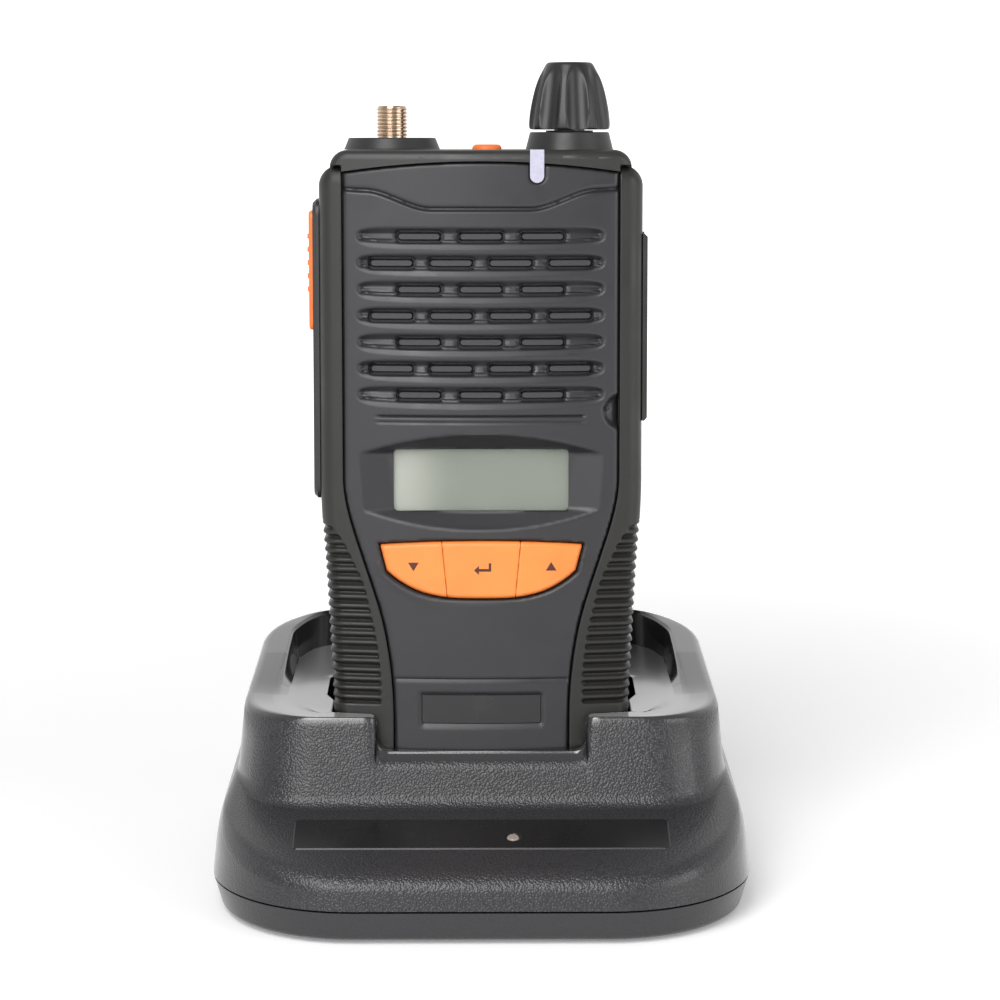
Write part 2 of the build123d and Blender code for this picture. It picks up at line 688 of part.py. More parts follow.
with BuildPart() as main_housing:
    with BuildSketch(facing(HOUSING_FRONT)):
        add(body_outline(GRIP_WALL, HEIGHT, 3.5))
    extrude(amount=HOUSING_FRONT - HOUSING_BACK)
    # deeper head above the battery
    with BuildSketch(facing(HOUSING_BACK)):
        with Locations((0, (HEIGHT + HEAD_BOTTOM) / 2)):
            RectangleRounded(2 * (HALF_WIDTH - GRIP_WALL) - 0.02, HEIGHT - HEAD_BOTTOM, 3.5)
    extrude(amount=HOUSING_BACK - HEAD_BACK)
    add(housing_cap.part)
    back_face = main_housing.faces().sort_by(DEPTH_AXIS)[-1]
    fillet(back_face.edges(), 2.4)
    deck = main_housing.faces().sort_by(LENGTH_AXIS)[-1]
    fillet(deck.edges().sort_by(DEPTH_AXIS)[0], 1.8)
    # inside of the casing, its front opening and the inside of the head
    with BuildSketch(facing(HOUSING_FRONT + HOUSING_WALL)):
        add(body_outline(GRIP_WALL + HOUSING_WALL, HEIGHT - 2.1, 1.6))
        with Locations((0, -10)):
            Rectangle(100, 2 * (10 + HOUSING_WALL), mode=Mode.SUBTRACT)
    extrude(amount=HOUSING_FRONT + 2 * HOUSING_WALL - HOUSING_BACK, mode=Mode.SUBTRACT)
    with BuildSketch(facing(HOUSING_FRONT)):
        add(cover_outline(1.9))
    extrude(amount=-HOUSING_WALL, mode=Mode.SUBTRACT)
    with BuildSketch(facing(HOUSING_BACK - 4)):
        with Locations((0, (HEIGHT - 2.1 + HEAD_BOTTOM + 2) / 2)):
            RectangleRounded(50, HEIGHT - 4.1 - HEAD_BOTTOM, 2)
    extrude(amount=HOUSING_BACK - HEAD_BACK - 2, mode=Mode.SUBTRACT)
    # holes in the deck for the connector, the volume control and the top button
    with BuildSketch(across(HEIGHT + 1)):
        with Locations((-TOP_X, TOP_DEPTH)):
            Circle(SHANK_RADIUS + 0.05)
        with Locations((TOP_X, TOP_DEPTH)):
            Circle(3.6)
        with Locations((BUTTON_X, TOP_BUTTON_DEPTH)):
            Circle(3.0)
    extrude(amount=-6, mode=Mode.SUBTRACT)
    # slot for the light pipe at the front of the deck
    with BuildSketch(facing(-1)):
        with Locations((PIPE_X, HEIGHT)):
            Rectangle(2 * PIPE_HALF + 0.1, 8)
    extrude(amount=-1 - PIPE_BACK - 0.05, mode=Mode.SUBTRACT)
    # holes for the push-button stems in the left wall and for the sockets in the right wall
    with BuildSketch(sideways(-HALF_WIDTH)):
        for low, high in SIDE_OPENINGS:
            with Locations((SIDE_DEPTH, (low + high) / 2)):
                Circle(1.8)
    extrude(amount=8, mode=Mode.SUBTRACT)
    with BuildSketch(sideways(HALF_WIDTH)):
        with Locations((SOCKET_DEPTH, EARPHONE_Z)):
            Circle(3.05)
        with Locations((SOCKET_DEPTH, MICROPHONE_Z)):
            Circle(2.45)
    extrude(amount=-13, mode=Mode.SUBTRACT)
    # screw holes with sunk seats
    for places, back in (((CASE_SCREWS_LOW), HOUSING_BACK), ((CASE_SCREWS_HIGH), HEAD_BACK)):
        with BuildSketch(facing(back)):
            with Locations(*places):
                Circle(2.2)
        extrude(amount=1.2, mode=Mode.SUBTRACT)
        with BuildSketch(facing(back)):
            with Locations(*places):
                Circle(1.2)
        extrude(amount=4, mode=Mode.SUBTRACT)
    # recess in which the battery latch slides
    with BuildSketch(facing(HEAD_BACK)):
        with Locations((0, (LATCH_LOW + LATCH_HIGH + LATCH_TRAVEL) / 2)):
            Rectangle(2 * LATCH_HALF + 0.3, LATCH_HIGH - LATCH_LOW + LATCH_TRAVEL + 0.3)
        with Locations((0, LATCH_LOW - 2)):
            Rectangle(2 * TONGUE_HALF + 0.4, 4)
    extrude(amount=1.2, mode=Mode.SUBTRACT)
finish(main_housing, "main_housing")

# Front cover: bowed plate with the grille, the display bezel and the openings for keys and label.
with BuildPart() as channel_tool:
    add(bowed_slab(25, -0.5, CHANNEL_DEPTH, 70, 112))
    with BuildSketch(facing(-2)):
        for row in range(ROW_COUNT):
            middle = ROW_TOP - row * ROW_PITCH
            sag = 0.1 + 0.12 * row
            with BuildLine():
                Line((-22.4, middle + 1.7), (22.4, middle + 1.7))
                ThreePointArc((22.4, middle + 1.7), (23.6, middle + 0.4), (22.4, middle - 0.7))
                ThreePointArc((22.4, middle - 0.7), (0, middle - 1.7 - sag), (-22.4, middle - 0.7))
                ThreePointArc((-22.4, middle - 0.7), (-23.6, middle + 0.4), (-22.4, middle + 1.7))
            make_face()
    extrude(amount=-8, mode=Mode.INTERSECT)

with BuildPart() as forehead_tool:
    add(bowed_slab(28, -0.5, 0.3, 110, HEIGHT))
    with BuildSketch(facing(-2)):
        with BuildLine():
            Spline(
                (-28, 116.0), (-21, 115.4), (-11.3, 112.5), (0, 112.2), (11.3, 112.5), (21, 115.4), (28, 116.0)
            )
            Polyline((28, 116.0), (28, 124), (-28, 124), (-28, 116.0))
        make_face()
    extrude(amount=-8, mode=Mode.INTERSECT)

with BuildPart() as bezel_tool:
    with BuildSketch(across(45)):
        Polygon(
            (-23.6, -2), (23.6, -2), (23.6, crown(23.6)), (WINDOW_HALF_X + 0.3, WINDOW_DEPTH),
            (-WINDOW_HALF_X - 0.3, WINDOW_DEPTH), (-23.6, crown(23.6)), align=None,
        )
    extrude(amount=30)
    with BuildSketch(sideways(-30)):
        Polygon(
            (-2, 48.3), (0, 50.3), (WINDOW_DEPTH, WINDOW_LOW - 0.2), (WINDOW_DEPTH, WINDOW_HIGH + 0.2),
            (0, 69.4), (-2, 71.4), align=None,
        )
    extrude(amount=60, mode=Mode.INTERSECT)
    with BuildSketch(facing(-3)):
        with BuildLine():
            ThreePointArc((-23.6, 67.6), (0, 69.4), (23.6, 67.6))
            Line((23.6, 67.6), (20.8, 51.7))
            ThreePointArc((20.8, 51.7), (0, 50.3), (-20.8, 51.7))
            Line((-20.8, 51.7), (-23.6, 67.6))
        make_face()
    extrude(amount=-8, mode=Mode.INTERSECT)

with BuildPart() as front_cover:
    add(bowed_slab(COVER_HALF, 0, COVER_THICK, 0, HEIGHT))
    with BuildSketch(facing(-1)):
        add(cover_outline(0))
    extrude(amount=-8, mode=Mode.INTERSECT)
    # frame behind the display
    with BuildSketch(facing(COVER_THICK - 0.5)):
        with Locations((0, 59.8)):
            Rectangle(45, 20.6)
    extrude(amount=COVER_THICK - 0.5 - WINDOW_DEPTH - 1.2)
    add(bezel_tool.part, mode=Mode.SUBTRACT)
    with BuildSketch(facing(0)):
        with Locations((0, (WINDOW_LOW + WINDOW_HIGH) / 2)):
            RectangleRounded(2 * WINDOW_HALF_X + 0.1, WINDOW_HIGH - WINDOW_LOW + 0.1, 0.9)
    extrude(amount=-6, mode=Mode.SUBTRACT)
    add(channel_tool.part, mode=Mode.SUBTRACT)
    add(forehead_tool.part, mode=Mode.SUBTRACT)
    # grille slots, three and four to a row in turn
    with BuildSketch(facing(-1)):
        for row in range(ROW_COUNT):
            count = 3 if row % 2 == 0 else 4
            pitch = 11.9 if count == 3 else 11.5
            with Locations((0, ROW_TOP - row * ROW_PITCH)):
                with GridLocations(pitch, 1, count, 1):
                    SlotOverall(SLOT_LENGTH, SLOT_HEIGHT)
    extrude(amount=-7, mode=Mode.SUBTRACT)
    with BuildSketch(facing(-1)):
        add(key_cluster(0.2))
    extrude(amount=-7, mode=Mode.SUBTRACT)
    # slot for the light pipe
    with BuildSketch(facing(-1)):
        with Locations((PIPE_X, PIPE_LOW + 10)):
            Rectangle(2 * PIPE_HALF + 0.1, 20)
        with Locations((PIPE_X, PIPE_LOW)):
            Circle(PIPE_HALF + 0.05)
    extrude(amount=-7, mode=Mode.SUBTRACT)
    # microphone hole and the round dish around it
    with BuildSketch(facing(-1)):
        with Locations((24.8, 74.2)):
            Circle(0.7)
    extrude(amount=-7, mode=Mode.SUBTRACT)
    with BuildSketch(facing(-1)):
        with Locations((27.3, 73.5)):
            Circle(3.5)
    extrude(amount=-1 - crown(25) - 0.8, mode=Mode.SUBTRACT)
    # posts for the case screws
    with BuildSketch(facing(COVER_THICK - 0.4)):
        with Locations(*CASE_SCREWS_LOW):
            Circle(2.0)
    extrude(amount=COVER_THICK - 0.4 - PCB_FRONT + 0.5)
    with BuildSketch(facing(COVER_THICK + 1.4)):
        with Locations(*CASE_SCREWS_HIGH):
            Circle(2.0)
    extrude(amount=COVER_THICK + 1.4 - PCB_FRONT + 0.5)
    with BuildSketch(facing(PCB_FRONT)):
        with Locations(*CASE_SCREWS_LOW, *CASE_SCREWS_HIGH):
            Circle(1.12)
    extrude(amount=PCB_FRONT - 5, mode=Mode.SUBTRACT)
    # bed for the label
    with BuildSketch(across(LABEL_LOW - 0.1)):
        with BuildLine():
            edge = crown(LABEL_HALF_X)
            ThreePointArc((-LABEL_HALF_X - 0.1, edge + 0.5), (0, 0.5), (LABEL_HALF_X + 0.1, edge + 0.5))
            Polyline(
                (LABEL_HALF_X + 0.1, edge + 0.5), (LABEL_HALF_X + 0.1, -2),
                (-LABEL_HALF_X - 0.1, -2), (-LABEL_HALF_X - 0.1, edge + 0.5),
            )
        make_face()
    extrude(amount=LABEL_HIGH - LABEL_LOW + 0.2, mode=Mode.SUBTRACT)
finish(front_cover, "front_cover")

with BuildPart() as front_label:
    add(bowed_slab(LABEL_HALF_X, 0.05, 0.45, LABEL_LOW, LABEL_HIGH))
finish(front_label, "front_label")

with BuildPart() as grille_cloth:
    add(bowed_slab(23.4, COVER_THICK + 0.02, COVER_THICK + 0.35, 73.0, 110.6))
    with BuildSketch(facing(0)):
        with Locations(*CASE_SCREWS_HIGH):
            Circle(2.2)
        with Locations((24.8, 74.2)):
            Circle(2.2)
    extrude(amount=-8, mode=Mode.SUBTRACT)
finish(grille_cloth, "grille_cloth")

with BuildPart() as housing_seal:
    add(bowed_slab(26.2, COVER_THICK + 0.02, 12, 0, HEIGHT))
    with BuildSketch(facing(COVER_THICK)):
        add(cover_outline(0.5))
    extrude(amount=COVER_THICK - HOUSING_FRONT + 0.02, mode=Mode.INTERSECT)
    with BuildSketch(facing(0)):
        add(cover_outline(1.8))
    extrude(amount=-20, mode=Mode.SUBTRACT)
finish(housing_seal, "housing_seal")

with BuildPart() as housing_screws:
    for places, back in ((CASE_SCREWS_LOW, HOUSING_BACK), (CASE_SCREWS_HIGH, HEAD_BACK)):
        with BuildSketch(facing(back - 0.05)):
            with Locations(*places):
                Circle(2.1)
        extrude(amount=1.1)
        with BuildSketch(facing(back - 0.1)):
            with Locations(*places):
                Circle(1.1)
        extrude(amount=back - 0.1 - 6.0)
        with BuildSketch(facing(back - 0.05)):
            with Locations(*places):
                Rectangle(2.6, 0.5)
                Rectangle(0.5, 2.6)
        extrude(amount=0.7, mode=Mode.SUBTRACT)
finish(housing_screws, "housing_screws")

with BuildPart() as led_light_pipe:
    with BuildSketch(facing(crown(PIPE_X) - 0.05)):
        with Locations((PIPE_X, (PIPE_LOW + HEIGHT + 0.05) / 2)):
            Rectangle(2 * PIPE_HALF, HEIGHT + 0.05 - PIPE_LOW)
        with Locations((PIPE_X, PIPE_LOW)):
            Circle(PIPE_HALF)
    extrude(amount=crown(PIPE_X) - 0.05 - PIPE_BACK)
    with BuildSketch(facing(PIPE_BACK - 0.2)):
        with Locations((PIPE_X, PIPE_LOW - 0.45)):
            Rectangle(1.5, 1.3)
    extrude(amount=-6.5)
finish(led_light_pipe, "led_light_pipe")

# ==================== Radio: display and keys ====================

with BuildPart() as lcd_window:
    with BuildSketch(facing(WINDOW_DEPTH + 0.1)):
        with Locations((0, (WINDOW_LOW + WINDOW_HIGH) / 2)):
            RectangleRounded(2 * WINDOW_HALF_X, WINDOW_HIGH - WINDOW_LOW, 0.85)
    extrude(amount=-1.0)
finish(lcd_window, "lcd_window")

with BuildPart() as lcd_panel:
    with BuildSketch(facing(WINDOW_DEPTH + 1.25)):
        with Locations((0, (WINDOW_LOW + WINDOW_HIGH) / 2)):
            Rectangle(39, 17)
    extrude(amount=-2.6)
finish(lcd_panel, "lcd_panel")

# Every key is one sector of the cluster: a cap that follows the bowed face and a flange behind the cover.
with BuildPart() as key_caps:
    with BuildSketch(facing(-2)):
        add(key_cluster(0))
    extrude(amount=-2 - KEY_BACK)
    add(bowed_slab(24, -6, -KEY_PROUD, 30, 55), mode=Mode.SUBTRACT)
    chamfer(key_caps.edges().filter_by(lambda e: e.length > 1).group_by(DEPTH_AXIS)[0], 0.25)
    with BuildSketch(facing(3.8)):
        add(key_cluster(0.6))
    extrude(amount=3.8 - KEY_BACK)

KEY_SECTORS = {
    "key_down": [(-30, 55), (-8.45, 55), (-6.0, 30), (-30, 30)],
    "key_enter": [(-8.25, 55), (8.25, 55), (5.8, 30), (-5.8, 30)],
    "key_up": [(8.45, 55), (30, 55), (30, 30), (6.0, 30)],
}

for name, corners in KEY_SECTORS.items():
    with BuildPart() as front_key:
        add(key_caps.part)
        with BuildSketch(facing(-3)):
            Polygon(*corners, align=None)
        extrude(amount=-12, mode=Mode.INTERSECT)
    finish(front_key, name)

with BuildPart() as keypad_mat:
    with BuildSketch(facing(KEY_BACK + KEY_TRAVEL + 0.1)):
        add(key_cluster(0.3))
    extrude(amount=-1.2)
finish(keypad_mat, "keypad_mat")

# ==================== Radio: inside ====================

with BuildPart() as speaker_frame:
    with BuildSketch(facing(4.7)):
        with Locations((0, SPEAKER_Z)):
            Circle(SPEAKER_RADIUS)
    extrude(amount=-4.1)
    with BuildSketch(facing(4.7)):
        with Locations((0, SPEAKER_Z)):
            Circle(SPEAKER_RADIUS - 1.4)
    extrude(amount=-3.1, mode=Mode.SUBTRACT)
finish(speaker_frame, "speaker_frame")

with BuildPart() as speaker_magnet:
    with BuildSketch(facing(8.8)):
        with Locations((0, SPEAKER_Z)):
            Circle(8.0)
    extrude(amount=-3.0)
    chamfer(speaker_magnet.edges().group_by(DEPTH_AXIS)[-1], 0.4)
finish(speaker_magnet, "speaker_magnet")

with BuildPart() as speaker_cone:
    with BuildSketch(sideways(0)):
        with BuildLine():
            Polyline(
                (5.0, SPEAKER_Z + 16.5), (5.3, SPEAKER_Z + 16.5), (7.5, SPEAKER_Z + 6.4), (6.3, SPEAKER_Z),
                (6.0, SPEAKER_Z), (7.1, SPEAKER_Z + 6.3), (5.0, SPEAKER_Z + 16.5),
            )
        make_face()
    revolve(axis=Axis(RADIO_BASE + UP * SPEAKER_Z, BACK))
finish(speaker_cone, "speaker_cone")

with BuildPart() as main_circuit_board:
    with BuildSketch(facing(PCB_FRONT)):
        with Locations((0, (PCB_TOP + 8) / 2)):
            RectangleRounded(43.6, PCB_TOP - 8, 1.5)
        with Locations((BUTTON_X, PCB_TOP + 5.3)):
            Rectangle(8, 11)
    extrude(amount=PCB_FRONT - PCB_BACK)
    # processor, coils and crystals on the back of the board
    with BuildSketch(facing(PCB_BACK)):
        with Locations((0, 80)):
            Rectangle(10, 10)
        with Locations((-12, 66), (12, 66), (14, 92)):
            Rectangle(5, 3.2)
    extrude(amount=-1.4)
finish(main_circuit_board, "main_circuit_board")

with BuildPart() as rf_shield:
    with BuildSketch(facing(PCB_BACK)):
        with Locations((0, 38)):
            RectangleRounded(34, 40, 1.2)
    extrude(amount=-3.0)
    with BuildSketch(facing(PCB_BACK)):
        with Locations((0, 38)):
            RectangleRounded(33.2, 39.2, 1)
    extrude(amount=-2.6, mode=Mode.SUBTRACT)
finish(rf_shield, "rf_shield")

with BuildPart() as microphone:
    with BuildSketch(facing(4.9)):
        with Locations((21.8, 74.2)):
            Circle(2.8)
    extrude(amount=-2.2)
finish(microphone, "microphone")

with BuildPart() as push_switches:
    for low, high in SIDE_OPENINGS:
        with BuildSketch(sideways(-25.4)):
            with Locations((SIDE_DEPTH, (low + high) / 2)):
                Rectangle(5, 3.6)
        extrude(amount=3.55)
    with BuildSketch(across(115.9)):
        with Locations((BUTTON_X, TOP_BUTTON_DEPTH)):
            Rectangle(6, 6)
    extrude(amount=-3.5)
finish(push_switches, "push_switches")

for name, height, outer, bore, depth in (
    ("earphone_socket", EARPHONE_Z, 3.0, 1.8, 12.2),
    ("microphone_socket", MICROPHONE_Z, 2.4, 1.3, 11.0),
):
    with BuildPart() as socket:
        with BuildSketch(sideways(31.2)):
            with Locations((SOCKET_DEPTH, height)):
                Circle(outer)
        extrude(amount=-13.0)
        with BuildSketch(sideways(31.2)):
            with Locations((SOCKET_DEPTH, height)):
                Circle(bore)
        extrude(amount=-depth, mode=Mode.SUBTRACT)
    finish(socket, name)

# ==================== Radio: top ====================

def turned(name, x, profile):
    """Piece turned about an upright axis of the deck, from (radius, height) points."""
    with BuildPart() as piece:
        with BuildSketch(sideways(x)):
            with BuildLine():
                Polyline(*[(TOP_DEPTH + r, z) for r, z in profile], close=True)
            make_face()
        revolve(axis=Axis(RADIO_BASE + Vector(x, 0, 0) + BACK * TOP_DEPTH, UP))
    finish(piece, name)


turned("antenna_collar", -TOP_X, [
    (SHANK_RADIUS + 0.05, HEIGHT), (9.5, HEIGHT), (9.3, HEIGHT + 0.3), (8.6, COLLAR_TOP - 0.2),
    (8.4, COLLAR_TOP), (SHANK_RADIUS + 0.05, COLLAR_TOP),
])
turned("antenna_connector", -TOP_X, [
    (0.65, 118.0), (SHANK_RADIUS, 118.0), (SHANK_RADIUS, 120.2), (4.5, 120.2), (4.5, 121.8),
    (SHANK_RADIUS, 121.8), (SHANK_RADIUS, COLLAR_TOP), (ANTENNA_RADIUS, COLLAR_TOP),
    (ANTENNA_RADIUS, ANTENNA_TOP), (2.1, ANTENNA_TOP), (2.1, 119.2), (0.65, 119.2),
])
turned("antenna_insulator", -TOP_X, [(0.65, 119.2), (2.1, 119.2), (2.1, 130.5), (0.65, 130.5)])
turned("antenna_contact", -TOP_X, [(0, 116.5), (0.64, 116.5), (0.64, 130.2), (0, 130.2)])
turned("knob_collar", TOP_X, [
    (3.6, HEIGHT), (8.6, HEIGHT), (8.5, HEIGHT + 0.4), (7.8, KNOB_COLLAR_TOP - 0.2), (7.6, KNOB_COLLAR_TOP),
    (4.65, KNOB_COLLAR_TOP), (4.65, KNOB_LOW - 0.08), (3.6, KNOB_LOW - 0.08),
])
turned("volume_control", TOP_X, [
    (0, 112.4), (5.6, 112.4), (5.6, 121.7), (3.5, 121.7), (3.5, 127.2), (SHAFT_RADIUS + RUNNING, 127.2),
    (SHAFT_RADIUS + RUNNING, 113.6), (0, 113.6),
])
turned("volume_shaft", TOP_X, [(0, 113.7), (SHAFT_RADIUS, 113.7), (SHAFT_RADIUS, SHAFT_TOP), (0, SHAFT_TOP)])

# one flute of the knob, which leans in with the knob's flank
with BuildPart() as knob_flute:
    with BuildSketch(across(KNOB_LOW - 1)):
        with Locations((TOP_X + FLUTE_LOW, TOP_DEPTH)):
            Circle(FLUTE_LOW_RADIUS)
    with BuildSketch(across(KNOB_HIGH + 1)):
        with Locations((TOP_X + FLUTE_HIGH, TOP_DEPTH)):
            Circle(FLUTE_HIGH_RADIUS)
    loft()

with BuildPart() as volume_knob:
    with BuildSketch(sideways(TOP_X)):
        with BuildLine():
            Line((TOP_DEPTH + SHAFT_RADIUS, KNOB_LOW), (TOP_DEPTH + 8.0, KNOB_LOW))
            Spline(
                (TOP_DEPTH + 8.0, KNOB_LOW), (TOP_DEPTH + 7.85, 130.5), (TOP_DEPTH + 7.4, 133.4),
                (TOP_DEPTH + 6.4, 137.0), (TOP_DEPTH + 4.9, 139.9),
            )
            Polyline(
                (TOP_DEPTH + 4.9, 139.9), (TOP_DEPTH + 4.0, KNOB_HIGH), (TOP_DEPTH, KNOB_HIGH),
                (TOP_DEPTH, SHAFT_TOP), (TOP_DEPTH + SHAFT_RADIUS, SHAFT_TOP),
                (TOP_DEPTH + SHAFT_RADIUS, KNOB_LOW),
            )
        make_face()
    knob_axis = Axis(RADIO_BASE + Vector(TOP_X, 0, 0) + BACK * TOP_DEPTH, UP)
    revolve(axis=knob_axis)
    for lobe in range(KNOB_LOBES):
        add(knob_flute.part.rotate(knob_axis, 360 / KNOB_LOBES * lobe), mode=Mode.SUBTRACT)
finish(volume_knob, "volume_knob")

with BuildPart() as top_button:
    with BuildSketch(across(HEIGHT - 2.2)):
        with Locations((BUTTON_X, TOP_BUTTON_DEPTH)):
            Circle(2.9)
    extrude(amount=3.2)
    fillet(top_button.edges().group_by(LENGTH_AXIS)[-1], 0.85)
    with BuildSketch(across(HEIGHT - 2.2)):
        with Locations((BUTTON_X, TOP_BUTTON_DEPTH)):
            Circle(3.6)
    extrude(amount=-1.0)
    with BuildSketch(across(HEIGHT - 3.2)):
        with Locations((BUTTON_X, TOP_BUTTON_DEPTH)):
            Circle(1.2)
    extrude(amount=-4.0)
finish(top_button, "top_button")

# ==================== Radio: sides ====================

with BuildPart() as ptt_bezel:
    with BuildSketch(sideways(-HALF_WIDTH - 0.05)):
        with Locations((SIDE_DEPTH, (BEZEL_LOW + BEZEL_HIGH) / 2)):
            RectangleRounded(12.0, BEZEL_HIGH - BEZEL_LOW, 3)
    extrude(amount=HALF_WIDTH + 0.05 - BEZEL_X)
    chamfer(ptt_bezel.edges().group_by(Axis.X)[0], 0.7)
    with BuildSketch(sideways(-HALF_WIDTH)):
        for low, high in SIDE_OPENINGS:
            with Locations((SIDE_DEPTH, (low + high) / 2)):
                RectangleRounded(8.0, high - low + 0.4, 1.5)
    extrude(amount=-3, mode=Mode.SUBTRACT)
finish(ptt_bezel, "ptt_bezel")


def side_button(name, low, high, outer):
    """Push button in the left side: a rounded cap and the stem that reaches its switch."""
    with BuildPart() as button:
        with BuildSketch(sideways(-30.6)):
            with Locations((SIDE_DEPTH, (low + high) / 2)):
                RectangleRounded(7.6, high - low, 1.3)
        extrude(amount=30.6 - outer)
        fillet(button.edges().group_by(Axis.X)[0], 0.5)
        with BuildSketch(sideways(-30.6)):
            with Locations((SIDE_DEPTH, (low + high) / 2)):
                Circle(1.5)
        extrude(amount=3.8)
        if name == "ptt_button":
            for step in range(5):
                with BuildSketch(across(96.9 + 2.58 * step - 0.45)):
                    with Locations((-outer, SIDE_DEPTH)):
                        Rectangle(0.6, 5.0)
                extrude(amount=0.9)
    finish(button, name)


side_button("ptt_button", PTT_LOW, PTT_HIGH, 33.55)
for name, (low, high) in SIDE_KEYS.items():
    side_button(name, low, high, 32.6)

# Rubber flap over the sockets, with the round hinge along its back edge.
with BuildPart() as jack_cover:
    with BuildSketch(sideways(HALF_WIDTH + 0.05)):
        with Locations((JACK_HINGE_DEPTH / 2 + 2.8, (JACK_LOW + JACK_HIGH) / 2)):
            Rectangle(JACK_HINGE_DEPTH - 5.6, JACK_HIGH - JACK_LOW)
    extrude(amount=0.95)
    chamfer(jack_cover.edges().group_by(Axis.X)[-1], 0.6)
    with BuildSketch(across(JACK_LOW)):
        with Locations((JACK_HINGE_X, JACK_HINGE_DEPTH)):
            Circle(0.8)
    extrude(amount=JACK_HIGH - JACK_LOW)
finish(jack_cover, "jack_cover")

# ==================== Radio: battery, latch and belt clip ====================

with BuildPart() as battery_case:
    with BuildSketch(across(0)):
        with Locations((0, (BATTERY_FRONT + BATTERY_BACK) / 2)):
            Rectangle(2 * BATTERY_HALF, BATTERY_BACK - BATTERY_FRONT)
    extrude(amount=BATTERY_TOP)
    fillet(battery_case.edges().filter_by(LENGTH_AXIS).group_by(DEPTH_AXIS)[-1], 4.0)
    fillet(battery_case.faces().sort_by(LENGTH_AXIS)[-1].edges(), 0.8)
    with BuildSketch(facing(BATTERY_FRONT)):
        with Locations((0, BATTERY_TOP / 2)):
            Rectangle(2 * BATTERY_HALF - 3.6, BATTERY_TOP - 3.6)
    extrude(amount=BATTERY_FRONT - BATTERY_BACK + 1.6, mode=Mode.SUBTRACT)
    with BuildSketch(across(-1)):
        with Locations((-CONTACT_X, CONTACT_DEPTH), (CONTACT_X, CONTACT_DEPTH)):
            Circle(2.5)
    extrude(amount=4, mode=Mode.SUBTRACT)
    with BuildSketch(across(BATTERY_TOP + 1)):
        with Locations((0, 30.45)):
            Rectangle(2 * TONGUE_HALF + 0.6, 1.7)
    extrude(amount=-4, mode=Mode.SUBTRACT)
finish(battery_case, "battery_case")

with BuildPart() as battery_cover:
    with BuildSketch(facing(BATTERY_FRONT)):
        with Locations((0, BATTERY_TOP / 2)):
            Rectangle(2 * BATTERY_HALF - 3.7, BATTERY_TOP - 3.7)
        with Locations(*BATTERY_PLATES):
            Rectangle(4.1, 7.1, mode=Mode.SUBTRACT)
    extrude(amount=-1.4)
finish(battery_cover, "battery_cover")

with BuildPart() as battery_cells:
    with BuildSketch(facing(BATTERY_FRONT + 1.6)):
        with Locations((0, 26), (0, 72)):
            RectangleRounded(46, 44, 1.5)
    extrude(amount=-9.8)
finish(battery_cells, "battery_cells")

with BuildPart() as battery_contacts:
    with BuildSketch(across(CONTACT_GAP)):
        with Locations((-CONTACT_X, CONTACT_DEPTH), (CONTACT_X, CONTACT_DEPTH)):
            Circle(2.45)
    extrude(amount=0.6)
    with BuildSketch(facing(BATTERY_FRONT + 0.1)):
        with Locations(*BATTERY_PLATES):
            Rectangle(4, 7)
    extrude(amount=-0.5)
finish(battery_contacts, "battery_contacts")

with BuildPart() as battery_latch:
    with BuildSketch(facing(HEAD_BACK - 1.15)):
        with Locations((0, (LATCH_LOW + LATCH_HIGH) / 2)):
            Rectangle(2 * LATCH_HALF, LATCH_HIGH - LATCH_LOW)
    extrude(amount=-1.9)
    fillet(battery_latch.edges().group_by(DEPTH_AXIS)[-1], 0.5)
    with BuildSketch(facing(HEAD_BACK - 1.15)):
        with Locations((0, LATCH_LOW - 1.5)):
            Rectangle(2 * TONGUE_HALF, 3.4)
    extrude(amount=-1.1)
finish(battery_latch, "battery_latch")

with BuildPart() as belt_clip_bracket:
    with BuildSketch(facing(BATTERY_BACK)):
        with Locations((0, CLIP_PIVOT_Z)):
            RectangleRounded(22.4, 15, 2)
    extrude(amount=-1.5)
    for side in (-1, 1):
        with BuildSketch(sideways(side * 9.8)):
            with BuildLine():
                Polyline((BATTERY_BACK + 1.4, CLIP_PIVOT_Z + 5), (BATTERY_BACK + 1.4, CLIP_PIVOT_Z - 5))
                Line((BATTERY_BACK + 1.4, CLIP_PIVOT_Z - 5), (CLIP_PIVOT_DEPTH, CLIP_PIVOT_Z - 2.3))
                ThreePointArc(
                    (CLIP_PIVOT_DEPTH, CLIP_PIVOT_Z - 2.3), (CLIP_PIVOT_DEPTH + 2.3, CLIP_PIVOT_Z),
                    (CLIP_PIVOT_DEPTH, CLIP_PIVOT_Z + 2.3),
                )
                Line((CLIP_PIVOT_DEPTH, CLIP_PIVOT_Z + 2.3), (BATTERY_BACK + 1.4, CLIP_PIVOT_Z + 5))
            make_face()
        extrude(amount=1.0, both=True)
    with BuildSketch(sideways(-12)):
        with Locations((CLIP_PIVOT_DEPTH, CLIP_PIVOT_Z)):
            Circle(1.2)
    extrude(amount=24, mode=Mode.SUBTRACT)
finish(belt_clip_bracket, "belt_clip_bracket")

with BuildPart() as clip_pin:
    with BuildSketch(sideways(-10.8)):
        with Locations((CLIP_PIVOT_DEPTH, CLIP_PIVOT_Z)):
            Circle(1.2)
    extrude(amount=21.6)
finish(clip_pin, "clip_pin")

